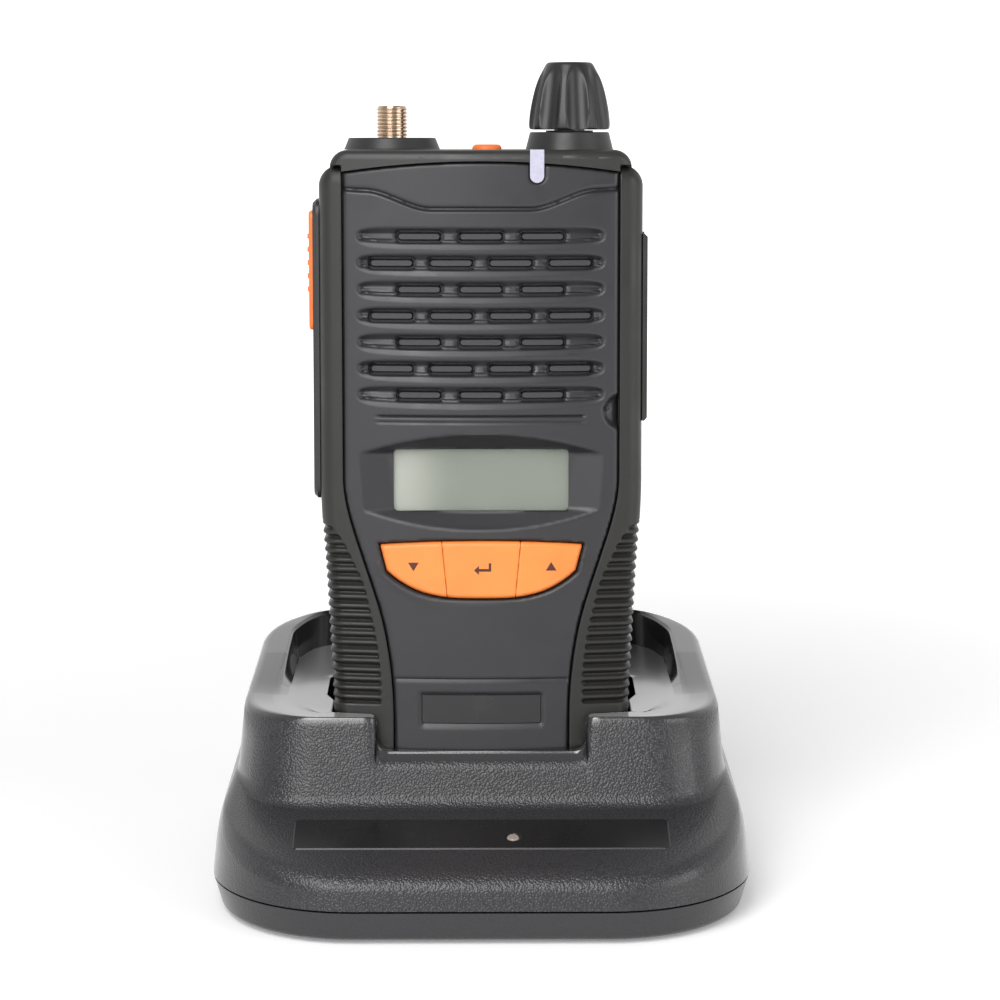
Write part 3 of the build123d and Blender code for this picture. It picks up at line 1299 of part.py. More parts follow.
with BuildPart() as belt_clip:
    with BuildSketch(sideways(-8)):
        Polygon(
            (CLIP_INNER, 95.0), (CLIP_INNER + CLIP_THICK, 95.0), (CLIP_INNER + CLIP_THICK, 45.6),
            (40.9, 36.8), (42.2, 33.6), (40.8, 33.0), (39.1, 36.9), (CLIP_INNER, 46.0), align=None,
        )
    extrude(amount=16)
    with BuildSketch(sideways(-8)):
        with Locations((CLIP_PIVOT_DEPTH, CLIP_PIVOT_Z)):
            Circle(2.2)
    extrude(amount=16)
    with BuildSketch(sideways(-9)):
        with Locations((CLIP_PIVOT_DEPTH, CLIP_PIVOT_Z)):
            Circle(1.2 + RUNNING)
    extrude(amount=18, mode=Mode.SUBTRACT)
    # room for the spring in the middle of the knuckle
    with BuildSketch(sideways(-3.2)):
        with Locations((CLIP_PIVOT_DEPTH - 0.5, CLIP_PIVOT_Z)):
            Rectangle(4.6, 7)
    extrude(amount=6.4, mode=Mode.SUBTRACT)
finish(belt_clip, "belt_clip")

# Torsion spring round the clip's pin, drawn as the sleeve that its turns fill.
with BuildPart() as clip_spring:
    with BuildSketch(sideways(-3.0)):
        with Locations((CLIP_PIVOT_DEPTH, CLIP_PIVOT_Z)):
            Circle(1.65)
            Circle(1.25, mode=Mode.SUBTRACT)
    extrude(amount=6.0)
    # its leg, which bears on the bracket
    with BuildSketch(sideways(-3.0)):
        with Locations((CLIP_PIVOT_DEPTH - 2.5, CLIP_PIVOT_Z + 1.2)):
            Rectangle(2.3, 0.6)
    extrude(amount=0.6)
finish(clip_spring, "clip_spring")
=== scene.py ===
# %% [markdown]
# # A handheld marine radio in its desktop charger
# The construction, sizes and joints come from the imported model, which this file never moves or resizes.
# What follows dresses it: every piece that shows gets its real surface, every surface its finish, and then
# the set gets a camera, lamps and a pale floor. Lengths are written in millimetres and turned into metres
# where the points go into a mesh.

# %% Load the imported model
from math import cos, pi, radians, sin, tan

import bpy
import numpy as np
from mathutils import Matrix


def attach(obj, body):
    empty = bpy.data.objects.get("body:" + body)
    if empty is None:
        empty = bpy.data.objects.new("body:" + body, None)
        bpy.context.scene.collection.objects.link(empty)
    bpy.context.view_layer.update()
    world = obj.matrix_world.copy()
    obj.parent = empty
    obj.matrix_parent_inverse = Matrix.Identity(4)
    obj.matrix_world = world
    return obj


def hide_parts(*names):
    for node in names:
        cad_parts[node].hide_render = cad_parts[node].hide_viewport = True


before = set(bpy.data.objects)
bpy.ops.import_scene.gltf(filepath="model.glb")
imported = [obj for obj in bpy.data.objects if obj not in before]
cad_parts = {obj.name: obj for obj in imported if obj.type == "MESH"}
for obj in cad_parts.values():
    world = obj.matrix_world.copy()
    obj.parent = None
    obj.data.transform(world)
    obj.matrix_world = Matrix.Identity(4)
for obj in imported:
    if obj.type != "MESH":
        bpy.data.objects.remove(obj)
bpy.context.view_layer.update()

# %% [markdown]
# ## Points that lean with the radio
# The radio stands in its charger tipped back by 4 degrees, so nothing on it is upright. It could be
# modelled upright and turned afterwards, but a finished piece keeps its place in its own mesh. So the
# shapes are worked out in the radio's own coordinates, x across, depth back from the face and height
# along its length, and one function tips whole arrays of them into place.

# %% Radio coordinates
MM = 0.001
LEAN = radians(4.0)
RADIO_Y = -16.75
RADIO_Z = 22.0


def on_radio(x, depth, height):
    """Points of the leaning radio, in mm: height runs along the tipped length, depth square to it."""
    x, depth, height = np.broadcast_arrays(x, depth, height)
    y = RADIO_Y + height * sin(LEAN) + depth * cos(LEAN)
    z = RADIO_Z + height * cos(LEAN) - depth * sin(LEAN)
    return np.stack([x, y, z], axis=-1)


print("deck centre at", on_radio(0, 16, 124.0).round(1), "mm")

# %% [markdown]
# ## From points and faces to a piece
# Every surface here ends as an array of points and a few arrays of face corners. One function makes the
# piece from them: it closes seams and poles by merging points that coincide, turns the faces outwards and
# says which body the piece rides on and which parts it stands for. It works on whole arrays, so a shape
# is a formula and no vertex is placed by a Python loop.

# %% Closed pieces
def closed_piece(name, points, faces, body, finish, slot, stands_for=(), crease=40.0, weights=None):
    """Mesh object from points in mm and a list of face index arrays, with every face turned outwards.

    Points that coincide become one, and a face that loses corners by that shrinks or goes. The signed
    volume, a sum of triple products over each face's edges and middle, tells if the shape is inside out: it
    is then negative and every face is reversed. Weights are a name and a value per point, kept as an
    attribute.
    """
    used, flat = np.unique(np.concatenate([f.ravel() for f in faces]), return_inverse=True)
    points = (points[used] * MM).round(8)
    points, first, merged = np.unique(points, axis=0, return_index=True, return_inverse=True)
    split = np.cumsum([f.size for f in faces])[:-1]
    faces = [part.reshape(f.shape) for part, f in zip(np.split(merged.ravel()[flat], split), faces)]
    volume = 0.0
    for group in faces:
        middle = points[group].mean(axis=1)
        for turn in range(group.shape[1]):
            here = points[group[:, turn]]
            after = points[group[:, (turn + 1) % group.shape[1]]]
            volume += np.einsum("ij,ij->i", middle, np.cross(here, after)).sum()
    if volume < 0:
        faces = [group[:, ::-1] for group in faces]
    corners = [list(dict.fromkeys(face)) for group in faces for face in group.tolist()]
    mesh = bpy.data.meshes.new(name)
    mesh.from_pydata(points.tolist(), [], [face for face in corners if len(face) > 2])
    mesh.polygons.foreach_set("use_smooth", np.ones(len(mesh.polygons), bool))
    if weights:
        attribute = mesh.attributes.new(weights[0], "FLOAT", "POINT")
        attribute.data.foreach_set("value", weights[1].ravel()[used][first])
    mesh.set_sharp_from_angle(angle=radians(crease))
    mesh.update()
    piece = bpy.data.objects.new(name, mesh)
    bpy.context.scene.collection.objects.link(piece)
    piece.data.materials.append(finish.material)
    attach(piece, body)
    if stands_for:
        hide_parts(*stands_for)
    print(f"{name}: {len(mesh.vertices)} points, {len(mesh.polygons)} faces")
    return piece


# %% [markdown]
# ## Skins and plates
# Two kinds of surface cover everything. A skin is a stack of closed loops, such as a turned knob: quads
# join each loop to the next, and flat caps close the ends, unless the last loop joins the first. A plate is
# two sheets of points on one grid, front and back, with holes where cells are left out and walls round
# them. The quads come from a table of point numbers, shifted against itself.

# %% Skins and plates
def skin_faces(rows, columns, close_rows=False):
    """Quads over a grid whose columns wrap round, and whose rows wrap too where close_rows is set."""
    index = np.arange(rows * columns).reshape(rows, columns)
    right = np.roll(index, -1, axis=1)
    here, above = (index, np.roll(index, -1, axis=0)) if close_rows else (index[:-1], index[1:])
    right, right_above = (right, np.roll(right, -1, axis=0)) if close_rows else (right[:-1], right[1:])
    return np.stack([here, right, right_above, above], axis=-1).reshape(-1, 4)


def skin(name, loops, *details, **more):
    """Piece from a stack of closed loops, shaped rows by columns by 3, with a flat cap on each end."""
    rows, columns = loops.shape[:2]
    caps = [np.arange(columns)[None, ::-1], np.arange(columns)[None] + (rows - 1) * columns]
    return closed_piece(name, loops.reshape(-1, 3), [skin_faces(rows, columns), *caps], *details, **more)


def ring_skin(name, loops, *details, **more):
    """Piece from a stack of closed loops whose last loop joins its first, like a tyre."""
    faces = skin_faces(*loops.shape[:2], close_rows=True)
    return closed_piece(name, loops.reshape(-1, 3), [faces], *details, **more)


def plate(name, front, back, keep, *details, **more):
    """Closed plate between two sheets of points on one grid, with a hole wherever a cell isn't kept.

    An edge between a kept cell and a dropped one, or the grid's border, gets a wall from sheet to sheet.
    """
    rows, columns = front.shape[:2]
    index = np.arange(rows * columns).reshape(rows, columns)
    cells = np.stack([index[:-1, :-1], index[1:, :-1], index[1:, 1:], index[:-1, 1:]], axis=-1)[keep]
    count = rows * columns
    padded = np.pad(keep, 1)
    walls = []
    for low, high, before, after in (
        (index[:-1], index[1:], padded[1:-1, :-1], padded[1:-1, 1:]),
        (index[:, 1:], index[:, :-1], padded[:-1, 1:-1], padded[1:, 1:-1]),
    ):
        for start, end, edge in ((high, low, after & ~before), (low, high, before & ~after)):
            a, b = start[edge], end[edge]
            walls.append(np.stack([a, b, b + count, a + count], axis=-1))
    points = np.concatenate([front.reshape(-1, 3), back.reshape(-1, 3)])
    return closed_piece(name, points, [cells, cells[:, ::-1] + count, *walls], *details, **more)


print("a skin of 3 loops of 8 points has", len(skin_faces(3, 8)), "quads between its caps")

# %% [markdown]
# ## Easing corners
# Moulded plastic has no sharp bends. Points placed along every bend would tie a shape to one radius, so
# a path is given by its corner points alone, with a reach for each corner, and curves ease them.

# %% Eased corners
def eased(corners, reach, steps):
    """Paths through corner points, shaped corners by columns by 3, with each corner eased by a curve.

    A corner is cut back by its reach along both sides, to at most 48% of a side, and a quadratic curve with
    the corner as its middle point joins the two cuts.
    """
    rows = [corners[0]]
    for k in range(1, len(corners) - 1):
        before, after = corners[k - 1] - corners[k], corners[k + 1] - corners[k]
        length_before = np.linalg.norm(before, axis=-1, keepdims=True).clip(1e-6)
        length_after = np.linalg.norm(after, axis=-1, keepdims=True).clip(1e-6)
        start = corners[k] + before * np.minimum(reach[k] / length_before, 0.48)
        end = corners[k] + after * np.minimum(reach[k] / length_after, 0.48)
        for t in np.linspace(0, 1, steps[k]) if steps[k] > 1 else (0.5,):
            rows.append((1 - t) ** 2 * start + 2 * t * (1 - t) * corners[k] + t**2 * end)
    rows.append(corners[-1])
    return np.array(rows)


square_bend = np.array([[0.0, 0.0], [10.0, 0.0], [10.0, 10.0]])
print("a square bend, eased over 3 mm, runs through", eased(square_bend, [3] * 3, [3] * 3)[2], "mm")

# %% [markdown]
# ## Writing shader maths as Python
# A finish is a small formula: a colour, a roughness and a fine relief that change over the surface. Wiring
# the nodes by hand hides the formula, so a socket is wrapped in a class that knows +, -, * and **, and
# each expression on it adds its Math nodes. Every other node comes from one method, which takes the node's
# settings first and then the values or links of its sockets.

# %% Sockets that calculate
def linear(red, green, blue):
    """Linear colour from 0 to 255 screen values, by the screen's own power curve."""
    screen = np.array([red, green, blue]) / 255
    return (*np.where(screen < 0.04045, screen / 12.92, ((screen + 0.055) / 1.055) ** 2.4), 1.0)


class Socket:
    """An output socket that takes part in arithmetic."""

    def __init__(self, wiring, out):
        self.wiring, self.out = wiring, out

    def math(self, operation, *values):
        """Result of one Math node on the given values or links."""
        return self.wiring.node("ShaderNodeMath", {"operation": operation}, dict(enumerate(values)))

    def __add__(self, other):
        return self.math("ADD", self, other)

    def __sub__(self, other):
        return self.math("SUBTRACT", self, other)

    def __rsub__(self, other):
        return self.math("SUBTRACT", other, self)

    def __mul__(self, other):
        return self.math("MULTIPLY", self, other)

    def __pow__(self, other):
        return self.math("POWER", self, other)

    __radd__, __rmul__ = __add__, __mul__

    def step(self, start, end):
        """0 below start, 1 above end, and smooth between them."""
        inputs = {"Value": self, "From Min": start, "From Max": end}
        return self.wiring.node("ShaderNodeMapRange", {"interpolation_type": "SMOOTHSTEP"}, inputs)


class Wiring:
    """A node tree that grows by expressions."""

    def __init__(self, tree):
        self.tree = tree

    def node(self, kind, settings, inputs, output=0):
        """Add a node: its settings first, then the values or links of its sockets."""
        made = self.tree.nodes.new(kind)
        for key, value in settings.items():
            setattr(made, key, value)
        for key, value in inputs.items():
            if isinstance(value, Socket):
                self.tree.links.new(value.out, made.inputs[key])
            else:
                made.inputs[key].default_value = value
        return Socket(self, made.outputs[output])

    def axes(self, coordinates="Object"):
        """The three coordinates as single values. Object coordinates, in metres, lie still on a piece."""
        place = self.node("ShaderNodeTexCoord", {}, {}, coordinates)
        split = self.node("ShaderNodeSeparateXYZ", {}, {0: place})
        return [Socket(self, out) for out in split.out.node.outputs]

    def seen_by(self, *rays):
        """1 for the named kinds of rays and 0 for all others."""
        seen = 0
        for ray in rays:
            seen = seen + self.node("ShaderNodeLightPath", {}, {}, f"Is {ray} Ray")
        return seen


print("mid grey on the screen is", round(float(linear(128, 128, 128)[0]), 3), "in linear light")

# %% [markdown]
# ## One class for every finish
# A finish is the wiring round one material's principled shader. Sockets that stay the same are given by
# name, and the ones that change over the surface are linked: to noise, to pebbles or to a value stored on
# the points. Colours are blended by the Mix node, because a Math node would turn them grey. Patterns read
# Object coordinates, so they lie still on a piece wherever it moves.

# %% Finishes
class Finish(Wiring):
    """One procedural material, built up by expressions."""

    def __init__(self, name, **fixed):
        self.material = bpy.data.materials.new(name)
        self.material.use_nodes = True
        super().__init__(self.material.node_tree)
        self.shader = self.tree.nodes["Principled BSDF"]
        for socket, value in fixed.items():
            self.shader.inputs[socket.replace("_", " ")].default_value = value

    def noise(self, size_mm, detail=3.0, roughness=0.55):
        """Cloudy noise from 0 to 1 whose lumps are about size_mm across."""
        place = self.node("ShaderNodeTexCoord", {}, {}, "Object")
        inputs = {"Vector": place, "Scale": 1000 / size_mm, "Detail": detail, "Roughness": roughness}
        return self.node("ShaderNodeTexNoise", {}, inputs)

    def pebbles(self, size_mm):
        """Round pebbles about size_mm apart: 1 on top of each and lower towards the valleys."""
        place = self.node("ShaderNodeTexCoord", {}, {}, "Object")
        inputs = {"Vector": place, "Scale": 1000 / size_mm, "Smoothness": 0.35}
        return 1 - self.node("ShaderNodeTexVoronoi", {"feature": "SMOOTH_F1"}, inputs, "Distance")

    def mix(self, factor, first, second):
        """Blend two colours."""
        return self.node("ShaderNodeMix", {"data_type": "RGBA"}, {0: factor, 6: first, 7: second}, 2)

    def attribute(self, name):
        """A value stored on the mesh's points."""
        return self.node("ShaderNodeAttribute", {"attribute_name": name}, {}, "Fac")

    def set(self, socket, value):
        """Link a socket of the shader."""
        self.tree.links.new(value.out, self.shader.inputs[socket])

    def relief(self, height, depth_mm):
        """Bump the surface by a height from 0 to 1 over depth_mm."""
        self.set("Normal", self.node("ShaderNodeBump", {}, {"Height": height, "Distance": depth_mm * MM}))


# %% [markdown]
# ## Plastics and metals
# Nearly every part is moulded plastic or worked metal. Each kind is one function of a colour, a roughness
# and the size of its grain, so two parts of one kind differ only in their numbers.

# %% Plastics and metals
def shaded(colour, share):
    """The colour with its brightness multiplied by a share."""
    return tuple(c * share for c in colour[:3]) + (1.0,)


def moulded(name, colour, roughness, grain_mm=0.25, grain_depth=0.012, wear=0.12):
    """Moulded plastic or rubber: fine grain, slight clouding of the colour, rubbed smoother in places."""
    finish = Finish(name)
    cloud = finish.noise(9.0, 4.0)
    grain = finish.noise(grain_mm, 2.0)
    dark = shaded(colour, 0.82)
    finish.set("Base Color", finish.mix(cloud.step(0.3, 0.7) * 0.6 + grain * 0.3, dark, colour))
    finish.set("Roughness", roughness - wear * cloud.step(0.45, 0.75) + 0.06 * grain)
    finish.relief(grain, grain_depth)
    return finish


def polished(name, colour, roughness, scratch_depth=0.004):
    """Worked metal: fine scratches and small changes of brightness."""
    finish = Finish(name, Metallic=1.0)
    scratch = finish.noise(0.35, 3.0, 0.6)
    finish.set("Base Color", finish.mix(finish.noise(1.5), shaded(colour, 0.7), colour))
    finish.set("Roughness", roughness + 0.15 * scratch)
    finish.relief(scratch, scratch_depth)
    return finish


COVER = moulded("cover_satin", linear(38, 37, 40), 0.38, 0.18, 0.008)
GRIP = moulded("grip_soft", linear(25, 24, 22), 0.44, 0.2, 0.008)
HOUSING = moulded("housing_satin", linear(36, 35, 34), 0.40, 0.2, 0.010)
BLACK = moulded("black_plastic", linear(34, 34, 34), 0.42, 0.22, 0.010)
RUBBER = moulded("soft_rubber", linear(30, 30, 29), 0.62, 0.3, 0.015)
KNOB = moulded("knob_satin", linear(28, 28, 29), 0.36, 0.2, 0.006)
ORANGE = moulded("key_orange_satin", linear(252, 142, 66), 0.40, 0.25, 0.006, 0.08)
SIGN = moulded("sign_print", linear(74, 28, 12), 0.5)
TALK_ORANGE = moulded("talk_orange", linear(250, 122, 48), 0.42, 0.25, 0.008)
LABEL = moulded("label_film", linear(26, 25, 26), 0.28, 0.12, 0.003)
GREY_RUBBER = moulded("seal_grey", linear(110, 110, 108), 0.6)
BOARD = moulded("board_green", linear(22, 84, 44), 0.4)
PAPER = moulded("cone_paper", linear(58, 54, 50), 0.85, 0.3, 0.03)
WHITE = moulded("insulator_white", linear(226, 224, 214), 0.5)
CELL = moulded("cell_wrap", linear(60, 92, 138), 0.35)
STEEL = polished("spring_steel", linear(176, 176, 174), 0.28)
ZINC = polished("zinc_screw", linear(168, 170, 168), 0.35)
TIN = polished("tinned_can", linear(190, 190, 186), 0.4)
PLATED = polished("plated_thread", linear(214, 190, 166), 0.14, scratch_depth=0.001)
GOLD = polished("gold_plate", linear(226, 192, 120), 0.18)
print(len(bpy.data.materials), "materials so far")

# %% [markdown]
# ## Spark-eroded plastic
# The charger's tool was eroded by sparks, which leaves a fine pebbled skin that glitters where pebbles
# face the lamps, while its tray and rim were polished. Soft round cells give the pebbles, and a finer
# noise the sand between them. The pebbles' tops are also painted lighter, a painted highlight that
# stands in for their glints. A value stored on the points, 1 on the front wall and 0 over the rim,
# blends pebbles into clear polish within one finish. The tray's level faces get a second one, without
# pebbles and with a faint sheen.

# %% Charger finish
def pebbled(name, colour, coarse, **fixed):
    """Black plastic: relief, roughness and painted highlights on the pebbles' tops grow with coarse, a
    number or the name of an attribute.
    """
    finish = Finish(name, Coat_Roughness=0.12, **fixed)
    if isinstance(coarse, str):
        coarse = finish.attribute(coarse)
        finish.set("Coat Weight", 1 - coarse)
    pebble_and_highlight = finish.pebbles(0.45).step(0.2, 0.9)
    sand = finish.noise(0.3, 1.0, 0.5)
    # Base colour: the pebbles' tops are painted up to 1.9 times lighter, a painted highlight standing in
    # for their glints, and the sand adds a random tone.
    finish.set("Base Color", finish.mix(pebble_and_highlight * coarse * 0.55 + 0.2 * sand, colour, shaded(colour, 1.9)))
    finish.set("Roughness", 0.05 * sand + (0.16 + 0.11 * coarse))
    finish.relief((pebble_and_highlight * 0.6 + sand * 0.4) * (0.02 + 0.98 * coarse), 0.11)
    return finish


PEBBLED = pebbled("spark_eroded_black", linear(38, 38, 40), "pebbles")
TRAY = pebbled("polished_tray_black", linear(38, 38, 40), 0.0,
               Coat_Weight=1.0, Sheen_Weight=0.5, Sheen_Roughness=0.4)
BASE_PLASTIC = pebbled("base_shell_black", linear(44, 44, 46), 0.3)
print(len(bpy.data.materials), "materials so far")

# %% [markdown]
# ## Display glass and lamps
# The display is a clear window over a grey-green liquid crystal panel. Its left end looks paler, because
# the light behind the panel sits there. The window itself only needs gloss and a little of its own tint.

# %% See-through finishes
def display_panel():
    """Grey-green panel that pales towards its left end and darkens under its upper edge."""
    finish = Finish("display_panel")
    across, _, up = finish.axes()
    glow = 1 - (across * 1000).step(-17.0, -5.0)
    band = finish.mix(glow, linear(124, 129, 114), linear(204, 204, 193))
    shade = (up * 1000).step(86.2, 88.6)
    finish.set("Base Color", finish.mix(shade * 0.45, band, linear(84, 86, 78)))
    finish.set("Roughness", 0.35 + 0.1 * finish.noise(2.0))
    return finish


def clear_window():
    """Glossy window, mostly see-through, with a faint cloudy tint."""
    finish = Finish("display_window", Alpha=0.22, IOR=1.5)
    haze = finish.noise(6.0)
    finish.set("Base Color", finish.mix(haze, linear(150, 158, 150), linear(170, 176, 168)))
    finish.set("Roughness", 0.08 + 0.05 * haze)
    return finish


def lamp_guide(name, colour):
    """Milky clear plastic of a lamp that is off."""
    finish = Finish(name, IOR=1.49)
    cloud = finish.noise(1.2)
    finish.set("Base Color", finish.mix(cloud, shaded(colour, 0.85), colour))
    finish.set("Roughness", 0.22 + 0.1 * cloud)
    return finish


def speaker_cloth():
    """Dark screen with a fine uneven weave."""
    finish = Finish("grille_screen")
    weave = finish.noise(0.3, 2.0, 0.5)
    finish.set("Base Color", finish.mix(weave, linear(38, 37, 39), linear(58, 57, 60)))
    finish.set("Roughness", 0.42 + 0.2 * weave)
    finish.relief(weave, 0.02)
    return finish


PANEL = display_panel()
WINDOW = clear_window()
PIPE = lamp_guide("status_light_guide", linear(186, 184, 202))
LENS = lamp_guide("charge_lamp_lens", linear(150, 138, 132))
SCREEN = speaker_cloth()
print(len(bpy.data.materials), "materials so far")

# %% [markdown]
# ## Outlines shared by the casing's parts
# The cover, the grips and the keys all follow a few curves: a face bowed to a large radius, a waist below
# the display and a gently arched top. Each curve is a function of whole arrays, so that neighbours made
# from the same function always meet.

# %% Casing curves
CROWN_RADIUS = 129.0
HALF_WIDTH = 31.4
GRIP_TOP = 121.0
COVER_HALF = 26.7
COVER_TOP = 121.7
COVER_BOTTOM = 0.6
COVER_THICK = 2.0
COVER_ARCH = 2.0
CASING_CORNER = 4.0
WAIST_HEIGHTS = [13.2, 30.0, 44.5, 60.8]
WAIST_HALVES = [17.0, 18.6, 22.9, COVER_HALF]
WAIST_SLOPES = [0, 0.19, 0.33, 0]
FLARE_HEIGHTS = [0.0, 18.0, 42.0, 60.0]
FLARE_HALVES = [28.4, 29.2, 30.4, HALF_WIDTH]
FLARE_SLOPES = [0.05, 0.05, 0.06, 0]


def crown(x):
    """Depth of the bowed face: a circle of large radius."""
    return CROWN_RADIUS - np.sqrt(CROWN_RADIUS**2 - np.square(x))


def hermite(t, places, values, slopes):
    """Smooth curve through given places, values and slopes, one cubic between each pair."""
    places, values, slopes = map(np.asarray, (places, values, slopes))
    t = np.clip(t, places[0], places[-1])
    k = np.clip(np.searchsorted(places, t, side="right") - 1, 0, len(places) - 2)
    width = places[k + 1] - places[k]
    u = (t - places[k]) / width
    return (
        values[k] * (1 + 2 * u) * (1 - u) ** 2 + slopes[k] * width * u * (1 - u) ** 2
        + values[k + 1] * u**2 * (3 - 2 * u) + slopes[k + 1] * width * u**2 * (u - 1)
    )


def cover_half(height):
    """Half width of the front cover, which narrows to a waist below the display."""
    return hermite(height, WAIST_HEIGHTS, WAIST_HALVES, WAIST_SLOPES)


def body_half(height):
    """Half width of the whole casing, with rounded upper corners."""
    low = hermite(height, FLARE_HEIGHTS, FLARE_HALVES, FLARE_SLOPES)
    top = np.clip(height - (GRIP_TOP - CASING_CORNER), 0, CASING_CORNER)
    return low - (CASING_CORNER - np.sqrt(CASING_CORNER**2 - top**2))


def smooth(value, start, end):
    """0 before start, 1 after end, with an eased ramp between."""
    t = np.clip((value - start) / (end - start), 0, 1)
    return t * t * (3 - 2 * t)


def round_over(inside, radius):
    """How far a rounded edge falls away at a distance inside its outline: a quarter circle."""
    t = np.clip(radius - inside, 0, radius)
    return radius - np.sqrt(radius**2 - t**2)


def stadium(x, y, length, height):
    """Distance outside a slot with round ends, negative within it."""
    return np.hypot(np.maximum(np.abs(x) - (length - height) / 2, 0), y) - height / 2


def rounded_box(x, y, half_x, half_y, radius):
    """Distance outside a rectangle with rounded corners, negative within it."""
    dx, dy = np.abs(x) - half_x + radius, np.abs(y) - half_y + radius
    return np.hypot(np.maximum(dx, 0), np.maximum(dy, 0)) + np.minimum(np.maximum(dx, dy), 0) - radius


print("cover half width at the waist", cover_half(np.array([15.0, 45.0, 100.0])).round(1), "mm")

# %% [markdown]
# ## The front cover
# The cover is one moulded shell: arched forehead, seven grooves with sound slots, a sunk display and
# openings for the keys and the light guide. It could be cut out of a slab with one Boolean after another,
# but a face that is nearly flat is simpler as depth over x and height. Outlines come first, each as the
# distance outside it, which serves both to cut a hole and to roll its edge.

# %% Outlines on the cover
ROW_TOP = 107.4
ROW_PITCH = 5.1
ROWS = 7
SLOT_LENGTH = 9.3
SLOT_HEIGHT = 2.45
WINDOW_HALF_X = 17.0
WINDOW_MIDDLE = 60.1
WINDOW_HALF_Y = 6.0
WINDOW_DEPTH = 3.2
LABEL_HALF_X = 11.7
LABEL_MIDDLE = 15.3
LABEL_HALF_Y = 2.9
PIPE_X = 10.8
PIPE_HALF = 1.35
PIPE_LOW = 119.05
KEYS_TOP = 48.4
KEYS_HALF = 18.4
KEYS_LOW = 37.2
KEY_CLEARANCE = 0.25


def cover_outline(x, height):
    """Distance outside the cover's outline."""
    side = (np.abs(x) - cover_half(height)) * 0.95
    top = height - (COVER_TOP - COVER_ARCH * (x / COVER_HALF) ** 2)
    return np.maximum(np.maximum(side, top), COVER_BOTTOM - height)


def sound_slots(x, height):
    """Distance outside the nearest sound slot: three and four to a row in turn."""
    nearest = np.full(np.broadcast(x, height).shape, 99.0)
    for row in range(ROWS):
        count, pitch = (3, 11.9) if row % 2 == 0 else (4, 11.5)
        for place in range(count):
            middle = (place - (count - 1) / 2) * pitch
            slot = stadium(x - middle, height - (ROW_TOP - row * ROW_PITCH), SLOT_LENGTH, SLOT_HEIGHT)
            nearest = np.minimum(nearest, slot)
    return nearest


def key_cluster(x, height, grow=0.0):
    """Distance outside the outline of the three keys: an arched top over a bowl with slanted shoulders."""
    top = height - (KEYS_TOP - 0.8 * (x / 19.7) ** 2) - grow
    shoulder = np.abs(x) - (KEYS_HALF + (height - 42.6) * 0.26) - grow
    bowl = (KEYS_LOW - grow) + 5.4 * np.clip(np.abs(x) / (KEYS_HALF + grow), 0, 1.2) ** 3.2 - height
    return np.maximum(np.maximum(top, shoulder * 0.97), bowl * 0.8)


def key_opening(x, height):
    """Distance outside the opening that the keys move in."""
    return key_cluster(x, height, KEY_CLEARANCE)


def display_opening(x, height):
    """Distance outside the opening in front of the display."""
    return rounded_box(x, height - WINDOW_MIDDLE, WINDOW_HALF_X + 0.05, WINDOW_HALF_Y + 0.05, 0.85)


def pipe_slot(x, height):
    """Distance outside the light guide's slot, which runs out at the top."""
    return np.hypot(x - PIPE_X, np.minimum(height - PIPE_LOW, 0)) - PIPE_HALF - 0.07


print("middle of the keys lies", -key_opening(0.0, 43.0).round(2), "mm inside their opening")

# %% [markdown]
# ## Relief of the cover
# The large features come first, each as a depth below the face. A groove is one profile, repeated seven
# times and slimmed towards its ends. The forehead's lower edge is a wave. The sunk display is the least
# of four slopes and a floor.

# %% Grooves, wave line and sunk display
GROOVE_PLACES = [0, 0.2, 1.3, 1.45, 2.45, 2.7, 2.95, 3.4, 4.3]
GROOVE_DEPTHS = [0, 0.1, 1.05, 1.08, 0.5, 0.85, 0.8, 0.3, 0]
GROOVE_HALF = 24.0
FOREHEAD_LINE = 112.2
BEZEL_HALF = 23.6
BEZEL_TOP = 69.4
BEZEL_LOW = 50.3


def bell(distance, width):
    """Bell curve of height 1: e to the power of minus the square of distance over width."""
    return np.exp(-((distance / width) ** 2))


def groove_rows(x, height):
    """Depth of the seven grooves: an underside, a floor turned up to the light, a step and a soft lip.

    Each groove slims towards its ends like a boat seen from the side.
    """
    depth = np.zeros(np.broadcast(x, height).shape)
    for row in range(ROWS):
        top_edge = ROW_TOP - row * ROW_PITCH + 1.95
        sag = 0.25 + 0.16 * row
        reach = 1 - (x / 23.7) ** 2
        slim = np.sqrt(np.clip(1 - np.abs(x / 24.1) ** 14, 0.03, 1))
        below = (top_edge - height) / (0.93 + 0.07 * (1 + sag) * reach.clip(0))
        below = 1.9 + (below - 1.9) / slim
        profile = np.interp(below, GROOVE_PLACES, GROOVE_DEPTHS)
        ends = 1 - smooth(np.abs(x), GROOVE_HALF - 1.0, GROOVE_HALF)
        depth = np.maximum(depth, profile * ends)
    return depth


def wave_line(x):
    """Height of the forehead's lower edge: flat in the middle and at both sides."""
    return FOREHEAD_LINE + 3.6 * smooth(np.abs(x), 9.5, 22.5) + 0.25 * smooth(np.abs(x), 22.5, 27)


def display_bezel(x, height):
    """Depth of the sunk display: four sloping sides down to a flat floor, with softened upper edges."""
    side_reach = BEZEL_HALF - 0.17 * np.abs(height - 68) - np.abs(x) + 1.2
    sides = crown(BEZEL_HALF) + (WINDOW_DEPTH - crown(BEZEL_HALF)) * side_reach / 6.0
    upper = (BEZEL_TOP - 0.0042 * x**2 * 0.8 - height) * 1.05
    lower = (height - (BEZEL_LOW + 0.0032 * x**2)) * 0.92
    sunk = np.minimum(np.minimum(sides, WINDOW_DEPTH), np.minimum(upper, lower))
    return sunk - 0.25 * bell(sunk, 0.35) * (sunk > 0)


print("deepest point of the display bezel", display_bezel(0.0, WINDOW_MIDDLE).round(2), "mm")

# %% [markdown]
# ## Adding the relief up
# Every feature adds to the cover's depth or limits it. A line pressed into the face is a narrow bell
# curve across the line, and a rolled edge is a quarter circle over the distance from its outline. The
# scoop and the sunk display only deepen the face, so the deeper of the two surfaces is taken.

